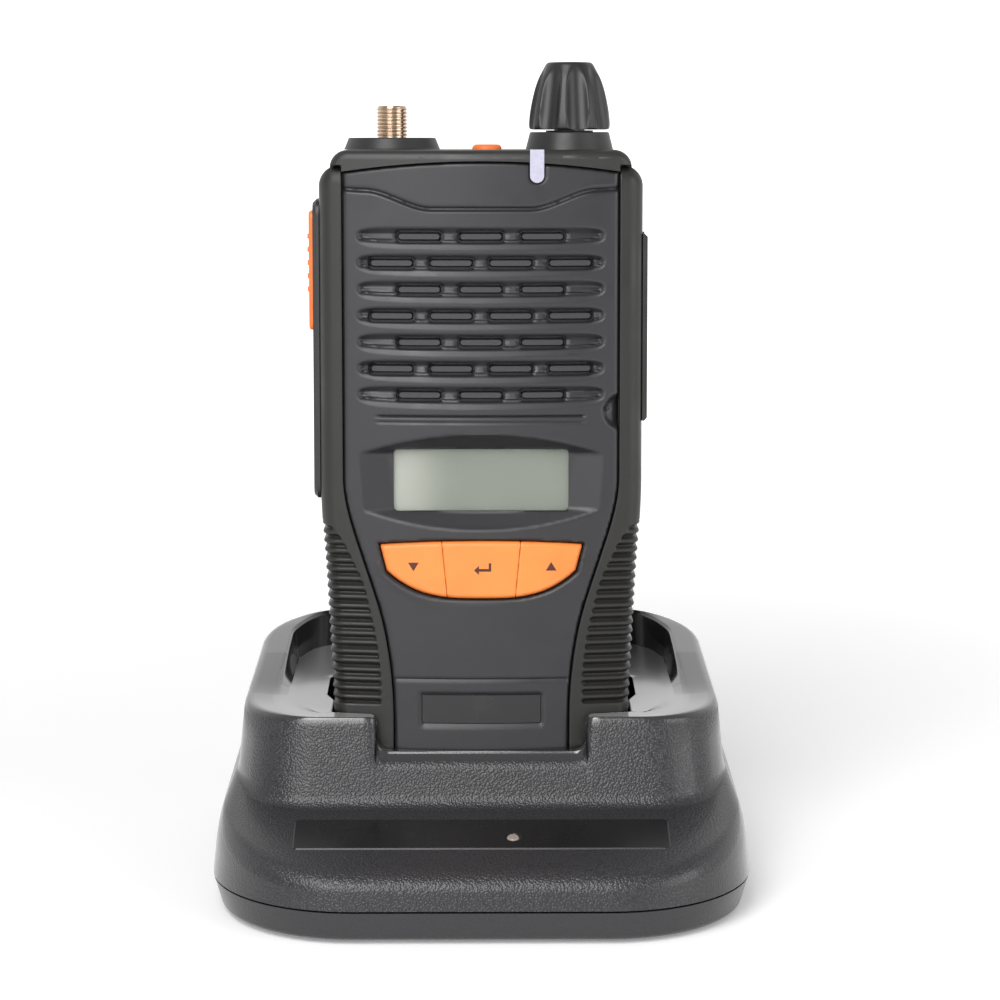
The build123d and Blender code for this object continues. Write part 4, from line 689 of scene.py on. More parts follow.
# %% Depth of the cover
PRESSED_LINES = ((72.7, 0.42), (71.55, 0.24))
LABEL_LINE = 21.1
DIMPLE_X = 27.3
DIMPLE_HEIGHT = 73.5
DIMPLE_RADIUS = 3.7


def cover_depth(x, height):
    """Depth of the cover's front surface below the radio's foremost line."""
    depth = crown(x) + groove_rows(x, height)
    above = height - wave_line(x)
    depth += 0.42 * smooth(above, -0.1, 0.35) + 0.45 * bell(above - 0.55, 0.38)
    for line, low in PRESSED_LINES:
        depth += low * (1 - smooth(np.abs(x), 19.6, 20.6)) * bell(height - line, 0.24)
    depth += 0.3 * (1 - smooth(np.abs(x), 17.3, 17.8)) * bell(height - LABEL_LINE, 0.25)
    depth = np.maximum(depth, display_bezel(x, height))
    # scoop beside the grip, deeper towards it, with the microphone's small hole
    scoop = DIMPLE_RADIUS - np.hypot(x - DIMPLE_X, height - DIMPLE_HEIGHT)
    depth = np.maximum(depth, crown(x) + np.minimum(scoop * 1.3, 0.35 + 0.42 * (x - 23.4)))
    depth += 0.8 * bell(np.hypot(x - 24.3, height - 74.1), 0.38)
    # bed of the label, with a soft edge
    label = rounded_box(x, height - LABEL_MIDDLE, LABEL_HALF_X + 0.15, LABEL_HALF_Y + 0.15, 0.4)
    depth += 0.5 * (label < 0) + 0.22 * bell(label, 0.25) * (label >= 0)
    # rolled edges at the outline, the key opening and the light guide
    depth += round_over(-cover_outline(x, height), 0.7)
    keys = key_opening(x, height)
    depth += round_over(keys, 0.45) - 0.12 * bell(keys - 0.9, 0.5) * (height < 44)
    depth += round_over(pipe_slot(x, height), 0.3) + round_over(sound_slots(x, height), 0.18)
    return depth


print("depth in the label's bed", cover_depth(np.zeros(1), LABEL_MIDDLE).round(2), "mm")

# %% [markdown]
# ## A grid that fits its edges
# Edges of holes must stay crisp on a grid. Finer cells everywhere would cost too much, so points within
# half a cell of an edge slide onto it, and cells whose middle lies in a hole are left out.

# %% Grid of the cover
def spaced(*spans):
    """Grid lines from (start, end, step) spans laid end to end."""
    parts = [np.linspace(a, b, max(2, round((b - a) / step) + 1))[:-1] for a, b, step in spans]
    return np.append(np.concatenate(parts), spans[-1][1])


def slide_to_edges(x, height, edges):
    """Move grid points within half a cell of an edge onto it, along the edge distance's own slope."""
    cell_x, cell_y = np.gradient(x, axis=1), np.gradient(height, axis=0)
    for distance in edges:
        here, step = distance(x, height), 0.02
        slope_x = (distance(x + step, height) - distance(x - step, height)) / (2 * step)
        slope_y = (distance(x, height + step) - distance(x, height - step)) / (2 * step)
        square = (slope_x**2 + slope_y**2).clip(0.04)
        near = np.abs(here) < 0.52 * (cell_x * np.abs(slope_x) + cell_y * np.abs(slope_y))
        x = np.where(near, x - here * slope_x / square, x)
        height = np.where(near, height - here * slope_y / square, height)
    return x, height


def cell_middles(values):
    """Mean of each grid cell's four corners."""
    return (values[:-1, :-1] + values[1:, :-1] + values[1:, 1:] + values[:-1, 1:]) / 4


def kept_cells(x, y, outside, holes):
    """Mask of the cells inside an outline and clear of the holes."""
    x, y = cell_middles(x), cell_middles(y)
    keep = outside(x, y) < 0
    for hole in holes:
        keep &= hole(x, y) > 0
    return keep


def front_cover():
    """Cover plate: rows are finest over the grooves and the pressed lines."""
    columns = spaced((-COVER_HALF, COVER_HALF, 0.42))
    rows = spaced(
        (COVER_BOTTOM, 12.0, 1.0), (12.0, 22.0, 0.4), (22.0, 36.4, 1.2), (36.4, 50.0, 0.36),
        (50.0, 70.5, 0.42), (70.5, 73.4, 0.17), (73.4, 110.0, 0.225), (110.0, 116.8, 0.2),
        (116.8, COVER_TOP, 0.3),
    )
    x, height = np.meshgrid(columns, rows)
    holes = [display_opening, key_opening, sound_slots, pipe_slot]
    x, height = slide_to_edges(x, height, [cover_outline, *holes])
    depth = cover_depth(x, height)
    keep = kept_cells(x, height, cover_outline, holes)
    back = np.maximum(crown(x) + COVER_THICK, depth + 0.9)
    plate("front_cover_shell", on_radio(x, depth, height), on_radio(x, back, height), keep,
          "radio", COVER, "cover_plastic", ("front_cover",), crease=50)


front_cover()

# %% [markdown]
# ## The screen behind the sound slots
# Through each slot shows a plug a little smaller than the slot, so that a thin dark line runs round it.
# Behind the slots lies one plate with a low raised plug for each. As with the cover, the plate is depth
# over x and height, and its walls get crisp edges from the same sliding of points.

# %% Grille screen
PLUG_INSET = 0.42
PLUG_BEVEL = 0.3
PLUG_RISE = 1.0


def grille_screen():
    """Plate behind the cover whose depth lessens by the plug's rise inside each inset slot."""
    columns = spaced((-23.0, 23.0, 0.36))
    rows = spaced((73.6, 110.4, 0.3))
    x, height = np.meshgrid(columns, rows)
    plug_edge = lambda x, h: sound_slots(x, h) + PLUG_INSET
    plug_top = lambda x, h: sound_slots(x, h) + PLUG_INSET + PLUG_BEVEL
    x, height = slide_to_edges(x, height, [plug_top, plug_edge])
    inside = -plug_edge(x, height)
    depth = crown(x) + COVER_THICK + 0.25 - PLUG_RISE * smooth(inside, -0.02, 0.28)
    keep = np.ones((len(rows) - 1, len(columns) - 1), bool)
    back = crown(x) + COVER_THICK + 0.6
    plate("grille_screen", on_radio(x, depth, height), on_radio(x, back, height), keep,
          "radio", SCREEN, "cloth", ("grille_cloth",), crease=55)


grille_screen()

# %% [markdown]
# ## Side grips
# Each grip is a wrap of soft plastic from the cover's seam round the long edge to the back, and its lower
# half carries ribs. It is a stack of sections: at every height the same number of points runs along the
# bowed front, round the corner, down the side and back along the inside.

# %% Section of a grip
CORNER_ROUND = 3.4
SEAM = 0.15
GRIP_BACK = 21.0
GRIP_WALL = 2.2
HOUSING_FRONT = 5.5


def grip_section(height):
    """Outline of a right-hand grip at each height: x, depth and the share of outward that is sideways."""
    height = height[:, None]
    half, inner = body_half(height), cover_half(height) + SEAM
    corner = np.minimum(CORNER_ROUND, (half - inner) * 0.8)
    centre_x = half - corner
    centre_depth = CROWN_RADIUS - np.sqrt((CROWN_RADIUS - corner) ** 2 - centre_x**2)
    start = np.arcsin(centre_x / (CROWN_RADIUS - corner))
    # bowed front, with a rolled edge along the seam
    along = np.concatenate([[0, 0.012, 0.03, 0.05], np.linspace(0.08, 1, 26)])
    x_front = inner + (centre_x + corner * np.sin(start) - inner) * along
    front = [x_front, crown(x_front) + round_over(x_front - inner, 0.35), x_front / CROWN_RADIUS]
    # corner, then the side down to its rolled back edge
    turn = start + (pi / 2 - start) * np.linspace(0, 1, 12)[1:]
    bend = [centre_x + corner * np.sin(turn), centre_depth - corner * np.cos(turn), np.sin(turn)]
    depth = spaced((7.2, 9.0, 0.3), (9.0, 15.0, 1.5), (15.0, 20.6, 0.25))[None]
    side = [half - round_over(GRIP_BACK - depth, 0.5), depth + 0 * half, 1 + 0 * (depth + half)]
    # back edge and inside
    inside_x = np.concatenate([half - 0.4, half - GRIP_WALL, half - GRIP_WALL, inner], axis=1)
    inside_depth = np.array([[GRIP_BACK, GRIP_BACK, HOUSING_FRONT, HOUSING_FRONT]])
    inside = [inside_x, inside_depth, np.zeros(inside_depth.shape)]
    x, depth, out = (np.concatenate([np.broadcast_to(p, (len(height), p.shape[1])) for p in parts], axis=1)
                     for parts in zip(front, bend, side, inside))
    outside = np.arange(x.shape[1]) < x.shape[1] - inside_depth.size
    return x, depth, out, outside


print("a grip's section has", grip_section(np.array([60.0]))[0].size, "points")

# %% [markdown]
# ## Ribs, windows and the flap's bed
# The sections are stacked finely over the ribs and coarsely where the grip is plain. Ribs, button windows
# and the flap's bed are then pushed in along the section's own outward direction, so that a rib follows
# the corner round from the front to the side.

# %% Grips
RIB_LOW = 16.5
RIB_PITCH = 1.8
RIB_EDGE_HEIGHTS = [17.0, 20.0, 23.0, 27.0, 31.0, 34.9, 38.9, 41.8, 44.8, 47.7, 49.9, 51.2, 52.6]
RIB_EDGE = [19.6, 19.6, 19.7, 20.1, 20.8, 21.7, 22.6, 23.7, 25.2, 26.6, 28.1, 29.5, 32.0]
RIB_TOP = 52.2
RIB_DEPTH = 0.75
SIDE_WINDOWS = ((88.8, 112.4), (71.8, 79.2), (57.8, 69.2))
WINDOWS_DEPTH = 12.0
WINDOWS_HALF = 3.9
HINGE_X = 31.6
HINGE_DEPTH = 18.9
HINGE_RADIUS = 1.1
FLAP_LOW = 71.4
FLAP_HIGH = 107.8


def ribs(x, height):
    """Depth of the grooves between the ribs, which start at a line that leans outwards with height."""
    beyond = smooth(x - np.interp(height, RIB_EDGE_HEIGHTS, RIB_EDGE), 0.0, 0.45)
    groove = (0.5 + 0.5 * np.cos(2 * pi * (height - RIB_LOW) / RIB_PITCH)) ** 1.4
    return RIB_DEPTH * groove * beyond * smooth(height, RIB_LOW - 1, RIB_LOW) * (height < RIB_TOP)


def side_grip(side):
    """Grip of one side: the section pushed in by ribs and beds, and rolled over at its top."""
    left = side < 0
    windows = (56.0, 114.0, 0.4) if left else (56.0, 114.0, 0.7)
    lower = (0, 15.5, 1.3), (15.5, 52.6, 0.17), (52.6, 56.0, 0.8)
    heights = spaced(*lower, windows, (114.0, GRIP_TOP, 0.25))
    x, depth, out, outside = grip_section(heights)
    height = heights[:, None] + 0 * x
    dip = ribs(x, height) * outside
    on_side = outside & (out > 0.999)
    if left:
        for low, high in SIDE_WINDOWS:
            window = (np.abs(depth - WINDOWS_DEPTH) < WINDOWS_HALF) & (height > low) & (height < high)
            dip = np.where(on_side & window, 2.1, dip)
    else:
        barrel = np.sqrt(np.clip(HINGE_RADIUS**2 - (depth - HINGE_DEPTH) ** 2, 0, None))
        flap = (height > FLAP_LOW - 0.3) & (height < FLAP_HIGH + 0.3)
        hinge = flap & (np.abs(depth - HINGE_DEPTH) < HINGE_RADIUS)
        dip = np.where(on_side & hinge, np.maximum(x - HINGE_X + barrel, 0), dip)
        bed = (depth > 5.4) & (depth < 16.8) & (height > 78) & (height < 101)
        dip = np.where(on_side & bed, 0.5, dip)
    x = x - dip * out
    depth = depth + (dip + round_over(GRIP_TOP - height, CORNER_ROUND)) * np.sqrt(1 - out**2) * outside
    name = "side_grip_left" if left else "side_grip_right"
    skin(name + "_wrap", on_radio(side * x, depth, height),
         "radio", GRIP, "grip_rubber", (name,), crease=45)


side_grip(-1)
side_grip(1)

# %% [markdown]
# ## The charger's upper shell
# From outside to inside the shell is one continuous path: up the wall, over the ledge, up the block,
# across the rim, down to the tray, into the pocket, and back underneath. It could be put together from
# blocks with Booleans, but then each soft bend would need a bevel that survives its neighbours. So it is
# drawn as a list of closed loops, each a rounded rectangle sampled at matching places, and every bend
# between loops is eased. The columns of points crowd towards the ends of the notch in the front wall,
# which is the same path with lower heights.

# %% Columns of the charger's loops
NOTCH_HALF = 20.5
NOTCH_FILLET = 2.4
SILL_STEPS = 9
NOTCH_COLUMNS = 17


def columns_of(fixed, share, side, out_x, out_y):
    """One stretch of columns, with single numbers repeated to the length of the others."""
    return np.array(np.broadcast_arrays(fixed, share, side, out_x, out_y), float)


def loop_columns():
    """Table of the loop's columns: fixed x, share of half width, share along the side, the way outwards."""
    sill = np.linspace(NOTCH_HALF / NOTCH_FILLET, 1, SILL_STEPS)[:-1]
    curve = 1 - np.sin(np.linspace(0, pi / 2, NOTCH_COLUMNS - SILL_STEPS + 1))
    inside = NOTCH_HALF - NOTCH_FILLET * np.append(sill, curve)
    beyond = np.linspace(0, 1, 9) ** 2
    quarter = np.linspace(0, pi / 2, 15)[1:-1]
    along = np.linspace(0, 1, 81)
    back = np.linspace(1, -1, 41)[1:-1]
    right = np.concatenate([
        columns_of(inside, 0, 0, 0, -1),
        columns_of(NOTCH_HALF * (1 - beyond), beyond, 0, 0, -1),
        columns_of(0, 1, 0, np.sin(quarter), -np.cos(quarter)),
        columns_of(0, 1, along, 1, 0),
        columns_of(0, 1, 1, np.cos(quarter), np.sin(quarter)),
        columns_of(0, back, 1, 0, 1),
    ], axis=1)
    flip = np.array([-1, -1, 1, -1, 1])[:, None]
    left = (right * flip)[:, 1 : right.shape[1] - len(back)][:, ::-1]
    return np.concatenate([right, left], axis=1)


COLUMNS = loop_columns()
COUNT = COLUMNS.shape[1]
FRONT_STRAIGHT = (COLUMNS[2] == 0) & (COLUMNS[4] == -1)
IN_NOTCH = (np.arange(COUNT) < NOTCH_COLUMNS) | (np.arange(COUNT) > COUNT - NOTCH_COLUMNS)
CORNER_SHARE = 0.25
ROUND_CORNER = CORNER_SHARE * np.abs(COLUMNS[3]) ** 8
ALONG_SIDE = CORNER_SHARE + (1 - CORNER_SHARE) * smooth(COLUMNS[2], -0.1, 0.6)
ON_SIDE = np.where(COLUMNS[4] < 0, ROUND_CORNER, ALONG_SIDE)
print(COUNT, "columns round the charger,", IN_NOTCH.sum(), "of them in the notch")

# %% [markdown]
# ## Walls, ledge, block and pocket
# In front the shell has a ledge, and round the sides it has a slanted flank instead. One share per
# column, 0 in front and 1 behind, blends the two, and the ramp between them is long, so that the step
# line fades along the side. A loop that follows a sloped surface is settled by a few rounds of placing it
# and reading its height.

# %% Loops round the charger
SEAM_Z = 7.1
BASE_HALF_X = 52.3
BASE_HALF_Y = 49.3
BASE_CORNER = 28.0
WALL_LEAN = radians(8.0)
LEDGE_Z = 19.8
LEDGE_BEND = -21.5
LEDGE_SOFTNESS = 0.35
FLANK_LOW = 12.5
FLANK_HIGH = 31.0
BLOCK_HALF = 47.9
BLOCK_FRONT = -17
BLOCK_BACK = 44.2
BLOCK_CORNER = 16.5
BLOCK_TAPER = 0.0425
FRONT_DRAFT = 0.281
SIDE_DRAFT = 0.08
TRAY_Z = 36.0
ROOF_BEND = -5
POCKET_HALF = 29.9
POCKET_BACK = 37.8
GUIDE_OUT = 1.6


def loop(half, front, back, corner, z):
    """Loop of a rounded rectangle, columns by 3. Any argument may change from column to column."""
    fixed, share, side, out_x, out_y = COLUMNS
    x = fixed + share * (half - corner) + corner * out_x
    y = front + corner + side * (back - front - 2 * corner) + corner * out_y
    return np.stack([x, y, z + 0 * x], axis=-1)


def ledge(y):
    """Height of the ledge: two slopes that meet in a soft bend."""
    steep = LEDGE_Z + (y - LEDGE_BEND) * tan(radians(13.5))
    slight = LEDGE_Z + (y - LEDGE_BEND) * tan(radians(4.0))
    return -LEDGE_SOFTNESS * np.logaddexp(-steep / LEDGE_SOFTNESS, -slight / LEDGE_SOFTNESS)


def roof(y):
    """Height of the rim: level with the tray in front, then rising to the back."""
    rise = (y - ROOF_BEND) * tan(radians(9.5))
    return TRAY_Z + 0.03 + LEDGE_SOFTNESS * np.logaddexp(0, rise / LEDGE_SOFTNESS)


def flank(front, side):
    """Heights that follow the front's function of y in front and hold one height at the sides and back."""
    return lambda y: (1 - ON_SIDE) * front(y) + ON_SIDE * side


def wall_loop(z, inset=0.0):
    """Loop on the outer wall, which leans in by 8 degrees in front and stands up at the sides."""
    s = (z - SEAM_Z) * tan(WALL_LEAN) * (1 - 0.9 * ON_SIDE) + inset
    return loop(BASE_HALF_X - s, s - BASE_HALF_Y, BASE_HALF_Y - s, BASE_CORNER - s, z)


def block_loop(z, inset=0.0):
    """Loop on the raised block, which narrows to the back and upwards."""
    rise = z - TRAY_Z
    front = BLOCK_FRONT + FRONT_DRAFT * rise + inset
    ends = (front, BLOCK_BACK - SIDE_DRAFT * rise - inset, BLOCK_CORNER - inset)
    y = loop(0, *ends, z)[:, 1]
    return loop(BLOCK_HALF - BLOCK_TAPER * (y - BLOCK_FRONT) - SIDE_DRAFT * rise - inset, *ends, z)


def settle(make, height_at, **more):
    """Loop whose height follows a surface: a few rounds bring place and height together."""
    z = np.full(COLUMNS.shape[1], 20.0)
    for _ in range(6):
        z = height_at(make(z, **more)[:, 1])
    return make(z, **more)


def pocket_loop(z, grow=0.0, guide=0.0):
    """Loop on the radio's pocket at a level, with the guide recesses half way along the sides."""
    x = loop(POCKET_HALF + grow, 0, 40, 0.8, 0)[:, 0]
    depth_front = crown(x) - 0.7 - grow
    depth = depth_front + (POCKET_BACK + grow - depth_front) * COLUMNS[2]
    place = np.where(COLUMNS[4] < 0, depth_front, depth)
    y = RADIO_Y + (z - RADIO_Z) * tan(LEAN) + place / cos(LEAN)
    bulge = smooth(y, -4.0, 2.5) * (1 - smooth(y, 15.0, 18.5))
    x = x + np.sign(x) * guide * bulge * (COLUMNS[4] == 0)
    return np.stack([x, y, z + 0 * x], axis=-1)


print("ledge at its front edge", ledge(-46.0).round(1), "mm high")

# %% [markdown]
# ## The notch and the whole path
# Inside the notch the rim and tray loops sink to the sill, and beside it they roll over by a quarter
# circle. Then the loops are listed from the outer wall's foot to the inner one's, each with the length by
# which its bend is cut back and the number of points on that bend.

# %% Path over the charger
NOTCH_EDGE = 1.4
NOTCH_LIP = (-19.54, 26.96)
NOTCH_STEP = (-17.25, 28.85)
NOTCH_FLAT = (-17.08, 29.3)
SHELL_WALL = 2.5
SHELF_Z = 24.5
CEILING_Z = 33.4


def rim_and_tray():
    """Loops of the rim's outer edge, its rolled inner edge and the tray's floor."""
    rim = settle(block_loop, roof)
    y = loop(0, -16.2, 40.6, 10, 0)[:, 1]
    tray_top = loop(41.1 - 0.055 * np.maximum(y, 0), -16.2, 40.6, 10, roof(y))
    tray_floor = loop(38.6, -15.9, 39.3, 8.8, TRAY_Z)
    return rim, tray_top, tray_floor


def cut_notch(rim, tray_top, tray_floor, edge, around, wall_high):
    """Lower the loops inside the notch to its sill, which curves up at both ends, and round its edges."""
    away = np.abs(rim[:, 0]) - NOTCH_HALF
    drop = np.where(FRONT_STRAIGHT & ~IN_NOTCH, round_over(away, NOTCH_EDGE), 0)
    for part in (rim, tray_top, tray_floor, edge, around):
        part[:, 2] -= drop
    rim[:, 1] += drop
    wall_high[:, 1] += drop
    tray_top[:, 1] = np.maximum(tray_top[:, 1], rim[:, 1] + 0.3)
    tray_floor[:, 1] = np.maximum(tray_floor[:, 1], rim[:, 1] + 0.75)
    lift = round_over(-away, NOTCH_FILLET)
    for part, (y, z) in ((rim, NOTCH_LIP), (tray_top, NOTCH_STEP), (tray_floor, NOTCH_FLAT)):
        part[IN_NOTCH, 1], part[IN_NOTCH, 2] = y, (z + lift)[IN_NOTCH]
    rim[IN_NOTCH, 1] += FRONT_DRAFT * lift[IN_NOTCH]
    edge[IN_NOTCH] = pocket_loop(NOTCH_FLAT[1] + lift)[IN_NOTCH]
    around[IN_NOTCH] = edge[IN_NOTCH]


def top_loops():
    """Loops from the foot of the block's wall over the rim and tray to the pocket's edge, notch cut."""
    rim, tray_top, tray_floor = rim_and_tray()
    edge = pocket_loop(TRAY_Z, -0.6, GUIDE_OUT)
    around = pocket_loop(TRAY_Z)
    around[:, 0] += COLUMNS[3] * (GUIDE_OUT + 0.8)
    wall_low = settle(block_loop, flank(lambda y: np.where(IN_NOTCH, 24.5, 27.2), FLANK_HIGH + 0.8))
    wall_high = settle(block_loop, flank(lambda y: np.where(IN_NOTCH, 25.2, 29.4), FLANK_HIGH + 1.6))
    cut_notch(rim, tray_top, tray_floor, edge, around, wall_high)
    return wall_low, wall_high, rim, tray_top, tray_floor, around, edge


def pocket_loops():
    """Loops down the pocket: its shelf, the wall below, the leaning floor and the floor's underside."""
    level = SHELF_Z - 0.05
    below = pocket_loop(level)
    floor_depth = (below[:, 1] - RADIO_Y - (level - RADIO_Z) * tan(LEAN)) * cos(LEAN)
    floor = on_radio(below[:, 0], floor_depth, 0.0)
    wider = np.where(COLUMNS[4] < 0, -1.6, 0) + np.where(COLUMNS[4] > 0, 2.2, 0)
    under = on_radio(below[:, 0] * 1.07, floor_depth + wider, -2.4)
    return pocket_loop(SHELF_Z, guide=GUIDE_OUT), below, floor, under


def inner_loops():
    """Loops on the inside of the shell, one wall's thickness within the outside."""
    inner_top, roof_inside = pocket_loop(CEILING_Z, 2.2, GUIDE_OUT), block_loop(CEILING_Z, SHELL_WALL)
    inner_top[FRONT_STRAIGHT, 1:] = -18.6, 25.0
    roof_inside[FRONT_STRAIGHT, 1:] = -18.9, 24.6
    lower_ledge = lambda y: ledge(y) - SHELL_WALL
    foot = settle(block_loop, flank(lower_ledge, FLANK_HIGH - 3.0), inset=SHELL_WALL)
    edge = settle(wall_loop, flank(lower_ledge, FLANK_LOW - 1.0), inset=SHELL_WALL)
    return inner_top, roof_inside, foot, edge, wall_loop(SEAM_Z, SHELL_WALL)


def charger_path():
    """All corner loops, the reach of each one's easing, and its number of points."""
    wall_low, wall_high, rim, tray_top, tray_floor, around, edge = top_loops()
    path = [
        (wall_loop(SEAM_Z), 0, 1),
        (settle(wall_loop, flank(ledge, FLANK_LOW)), 5.6, 9),
        (settle(block_loop, flank(ledge, FLANK_HIGH)), 2.2, 5),
        (wall_low, 0, 1),
        (wall_high, 0, 1),
        (rim, 1.9, 7),
        (tray_top, 0.9, 5),
        (tray_floor, 0.3, 3),
        (around, 0, 1),
        (edge, 0.4, 3),
    ]
    path += [(plain, 0, 1) for plain in (*pocket_loops(), *inner_loops())]
    return zip(*path)


print("sill of the notch", NOTCH_FLAT[1], "mm high, tray", TRAY_Z, "mm high")

# %% [markdown]
# ## Making the upper shell
# The pebbles' strength, and with it their painted highlights, is a value per point: full on the front
# wall, less on the sides, and fading over the rim. The power inlet's hole crosses the grid's lines, so it
# is drilled by a Boolean whose result is kept. Faces of the tray and rim that look up get the tray's
# finish, and normals weighted by face area keep these level faces evenly shaded beside their narrow
# rolled edges.

# %% Charger shell
INLET_PLACE = (24.0, 47.5, 12.8)
INLET_RADIUS = 4.05
RIM_INDEX = 5
RIM_FADE = [1.0, 0.8, 0.5, 0.2, 0.0, 0.0, 0.0]
SILL_FADE = [1.0, 1.0, 1.0, 1.0, 1.0, 0.6, 0.0]


def charger_shell():
    """Ring of eased loops, with the pebbles' strength at each point."""
    corners, reach, steps = charger_path()
    rows = eased(np.array(corners), reach, steps)
    coarse = np.zeros(rows.shape[:2])
    rim_start = 1 + sum(steps[1:RIM_INDEX])
    coarse[:rim_start] = 1.0 - 0.7 * COLUMNS[3] ** 2
    fade = np.where(IN_NOTCH[:, None], SILL_FADE, RIM_FADE)
    coarse[rim_start : rim_start + steps[RIM_INDEX]] = fade.T
    return ring_skin("charger_upper_shell", rows, "charger", PEBBLED, "charger_shell",
                     ("charger_top_shell",), crease=38, weights=("pebbles", coarse))


def drill(piece, middle, radius, depth):
    """Cut a round hole, square to the back, out of a piece and leave the result in its own mesh."""
    bpy.ops.mesh.primitive_cylinder_add(vertices=64, radius=radius * MM, depth=depth * MM)
    drill_bit = bpy.context.object
    drill_bit.location = [v * MM for v in middle]
    drill_bit.rotation_euler = (pi / 2, 0, 0)
    cut = piece.modifiers.new("drill", "BOOLEAN")
    cut.object, cut.solver = drill_bit, "EXACT"
    bpy.context.view_layer.update()
    evaluated = piece.evaluated_get(bpy.context.evaluated_depsgraph_get())
    drilled = bpy.data.meshes.new_from_object(evaluated)
    piece.modifiers.clear()
    piece.data = drilled
    bpy.data.objects.remove(drill_bit)
    print(piece.name, "drilled:", len(drilled.polygons), "faces")


def polish(piece):
    """Give the tray finish to the faces of the tray and rim that look up."""
    piece.data.materials.append(TRAY.material)
    normals, middles = np.empty((2, len(piece.data.polygons), 3))
    piece.data.polygons.foreach_get("normal", normals.ravel())
    piece.data.polygons.foreach_get("center", middles.ravel())
    flat = (normals[:, 2] > 0.9) & (middles[:, 2] > (TRAY_Z - 0.3) * MM)
    piece.data.polygons.foreach_set("material_index", flat.astype(np.int32))
    print(piece.name, "polished:", flat.sum(), "faces")


shell = charger_shell()
drill(shell, INLET_PLACE, INLET_RADIUS, 6.0)
polish(shell)
flat_shading = shell.modifiers.new("flat_shading", "WEIGHTED_NORMAL")
flat_shading.keep_sharp = True

# %% [markdown]
# ## Pocket floor and label plates
# Small flat parts are plates on a grid too. The floor of the pocket leans with the radio and has a hole
# for each charge pin. The plate on the ledge follows the ledge's own slope and leaves a hole for the
# lamp's lens.

# %% Floor and plates
PIN_X = 9.0
PIN_DEPTH = 30.0
PIN_HOLE = 1.4
PLATE_HALF = 36.0
PLATE_FRONT = -38.2
PLATE_BACK = -27.3
LED_X = 6.0
LED_Y = -34.0
LED_HOLE = 1.27


def circle_at(x0, y0, radius):
    """Function giving the distance outside a circle."""
    return lambda x, y: np.hypot(x - x0, y - y0) - radius


def pocket_floor():
    """Leaning floor of the pocket, with a hole for each charge pin."""
    columns = spaced((-30.3, -11, 3.2), (-11, -7, 0.25), (-7, 7, 3.5), (7, 11, 0.25), (11, 30.3, 3.2))
    rows = spaced((0, 28.0, 2.0), (28.0, 32.0, 0.25), (32.0, 38.3, 2.0))
    x, depth = np.meshgrid(columns, rows)
    depth = np.maximum(depth, crown(x) - 1.0)
    holes = [circle_at(side * PIN_X, PIN_DEPTH, PIN_HOLE) for side in (-1, 1)]
    x, depth = slide_to_edges(x, depth, holes)
    keep = kept_cells(x, depth, lambda x, y: 0 * x - 1, holes)
    plate("pocket_floor", on_radio(x, depth, -0.01), on_radio(x, depth, -2.3), keep,
          "charger", BLACK, "charger_shell")


def ledge_plate():
    """Thin plate 0.16 mm proud of the ledge, finest at its edges and round the lens."""
    columns = spaced(
        (-PLATE_HALF, -34.5, 0.25), (-34.5, 4.0, 1.1), (4.0, 8.0, 0.22), (8.0, 34.5, 1.06),
        (34.5, PLATE_HALF, 0.25),
    )
    rows = spaced(
        (PLATE_FRONT, -36.7, 0.25), (-36.7, -35.8, 0.45), (-35.8, -32.2, 0.22), (-32.2, -28.8, 0.57),
        (-28.8, PLATE_BACK, 0.25),
    )
    x, y = np.meshgrid(columns, rows)
    middle, half_y = (PLATE_FRONT + PLATE_BACK) / 2, (PLATE_BACK - PLATE_FRONT) / 2
    outline = lambda x, y: rounded_box(x, y - middle, PLATE_HALF, half_y, 1.0)
    hole = circle_at(LED_X, LED_Y, LED_HOLE)
    x, y = slide_to_edges(x, y, [outline, hole])
    height = ledge(y) + 0.16 - round_over(-outline(x, y), 0.3) - round_over(hole(x, y), 0.15)
    front = np.stack([x, y, height], axis=-1)
    back = np.stack([x, y, ledge(y) - 0.45], axis=-1)
    plate("ledge_plate", front, back, kept_cells(x, y, outline, [hole]), "charger", LABEL, "label_film",
          ("charger_label_plate",))


def cover_label():
    """Thin film on the cover's label bed, with rounded corners and rolled edges."""
    columns = spaced((-LABEL_HALF_X, -10.9, 0.16), (-10.9, 10.9, 1.0), (10.9, LABEL_HALF_X, 0.16))
    rows = spaced((-LABEL_HALF_Y, -2.1, 0.16), (-2.1, 2.1, 0.7), (2.1, LABEL_HALF_Y, 0.16))
    x, up = np.meshgrid(columns, rows)
    outline = lambda x, y: rounded_box(x, y, LABEL_HALF_X, LABEL_HALF_Y, 0.45)
    x, up = slide_to_edges(x, up, [outline])
    depth = crown(x) + 0.22 + round_over(-outline(x, up), 0.2)
    keep = kept_cells(x, up, outline, [])
    height = up + LABEL_MIDDLE
    plate("cover_label", on_radio(x, depth, height), on_radio(x, crown(x) + 0.56, height), keep,
          "radio", LABEL, "label_film", ("front_label",))


pocket_floor()
ledge_plate()
cover_label()

# %% [markdown]
# ## Keys
# The three keys share one outline, split by two slanted gaps, and each is a soft cap with rolled edges
# and a printed sign. The signs are plain: an arrow down, a return sign and an arrow up.

# %% Keys and their signs
KEY_PROUD = 0.35
KEY_FOOT = 4.4
KEY_GAP = 0.05
KEY_SIGNS = {
    "key_down": ((-13.2, 43.5), [(-1.05, 0.75), (1.05, 0.75), (0, -0.95)]),
    "key_enter": ((0.3, 43.1), [(-1.7, -0.3), (-0.75, 0.6), (-0.75, -0.02), (1.15, -0.02), (1.15, 1.1),
                                (1.65, 1.1), (1.65, -0.55), (-0.75, -0.55), (-0.75, -1.2)]),
    "key_up": ((13.6, 43.4), [(-1.05, -0.75), (1.05, -0.75), (0, 0.95)]),
}


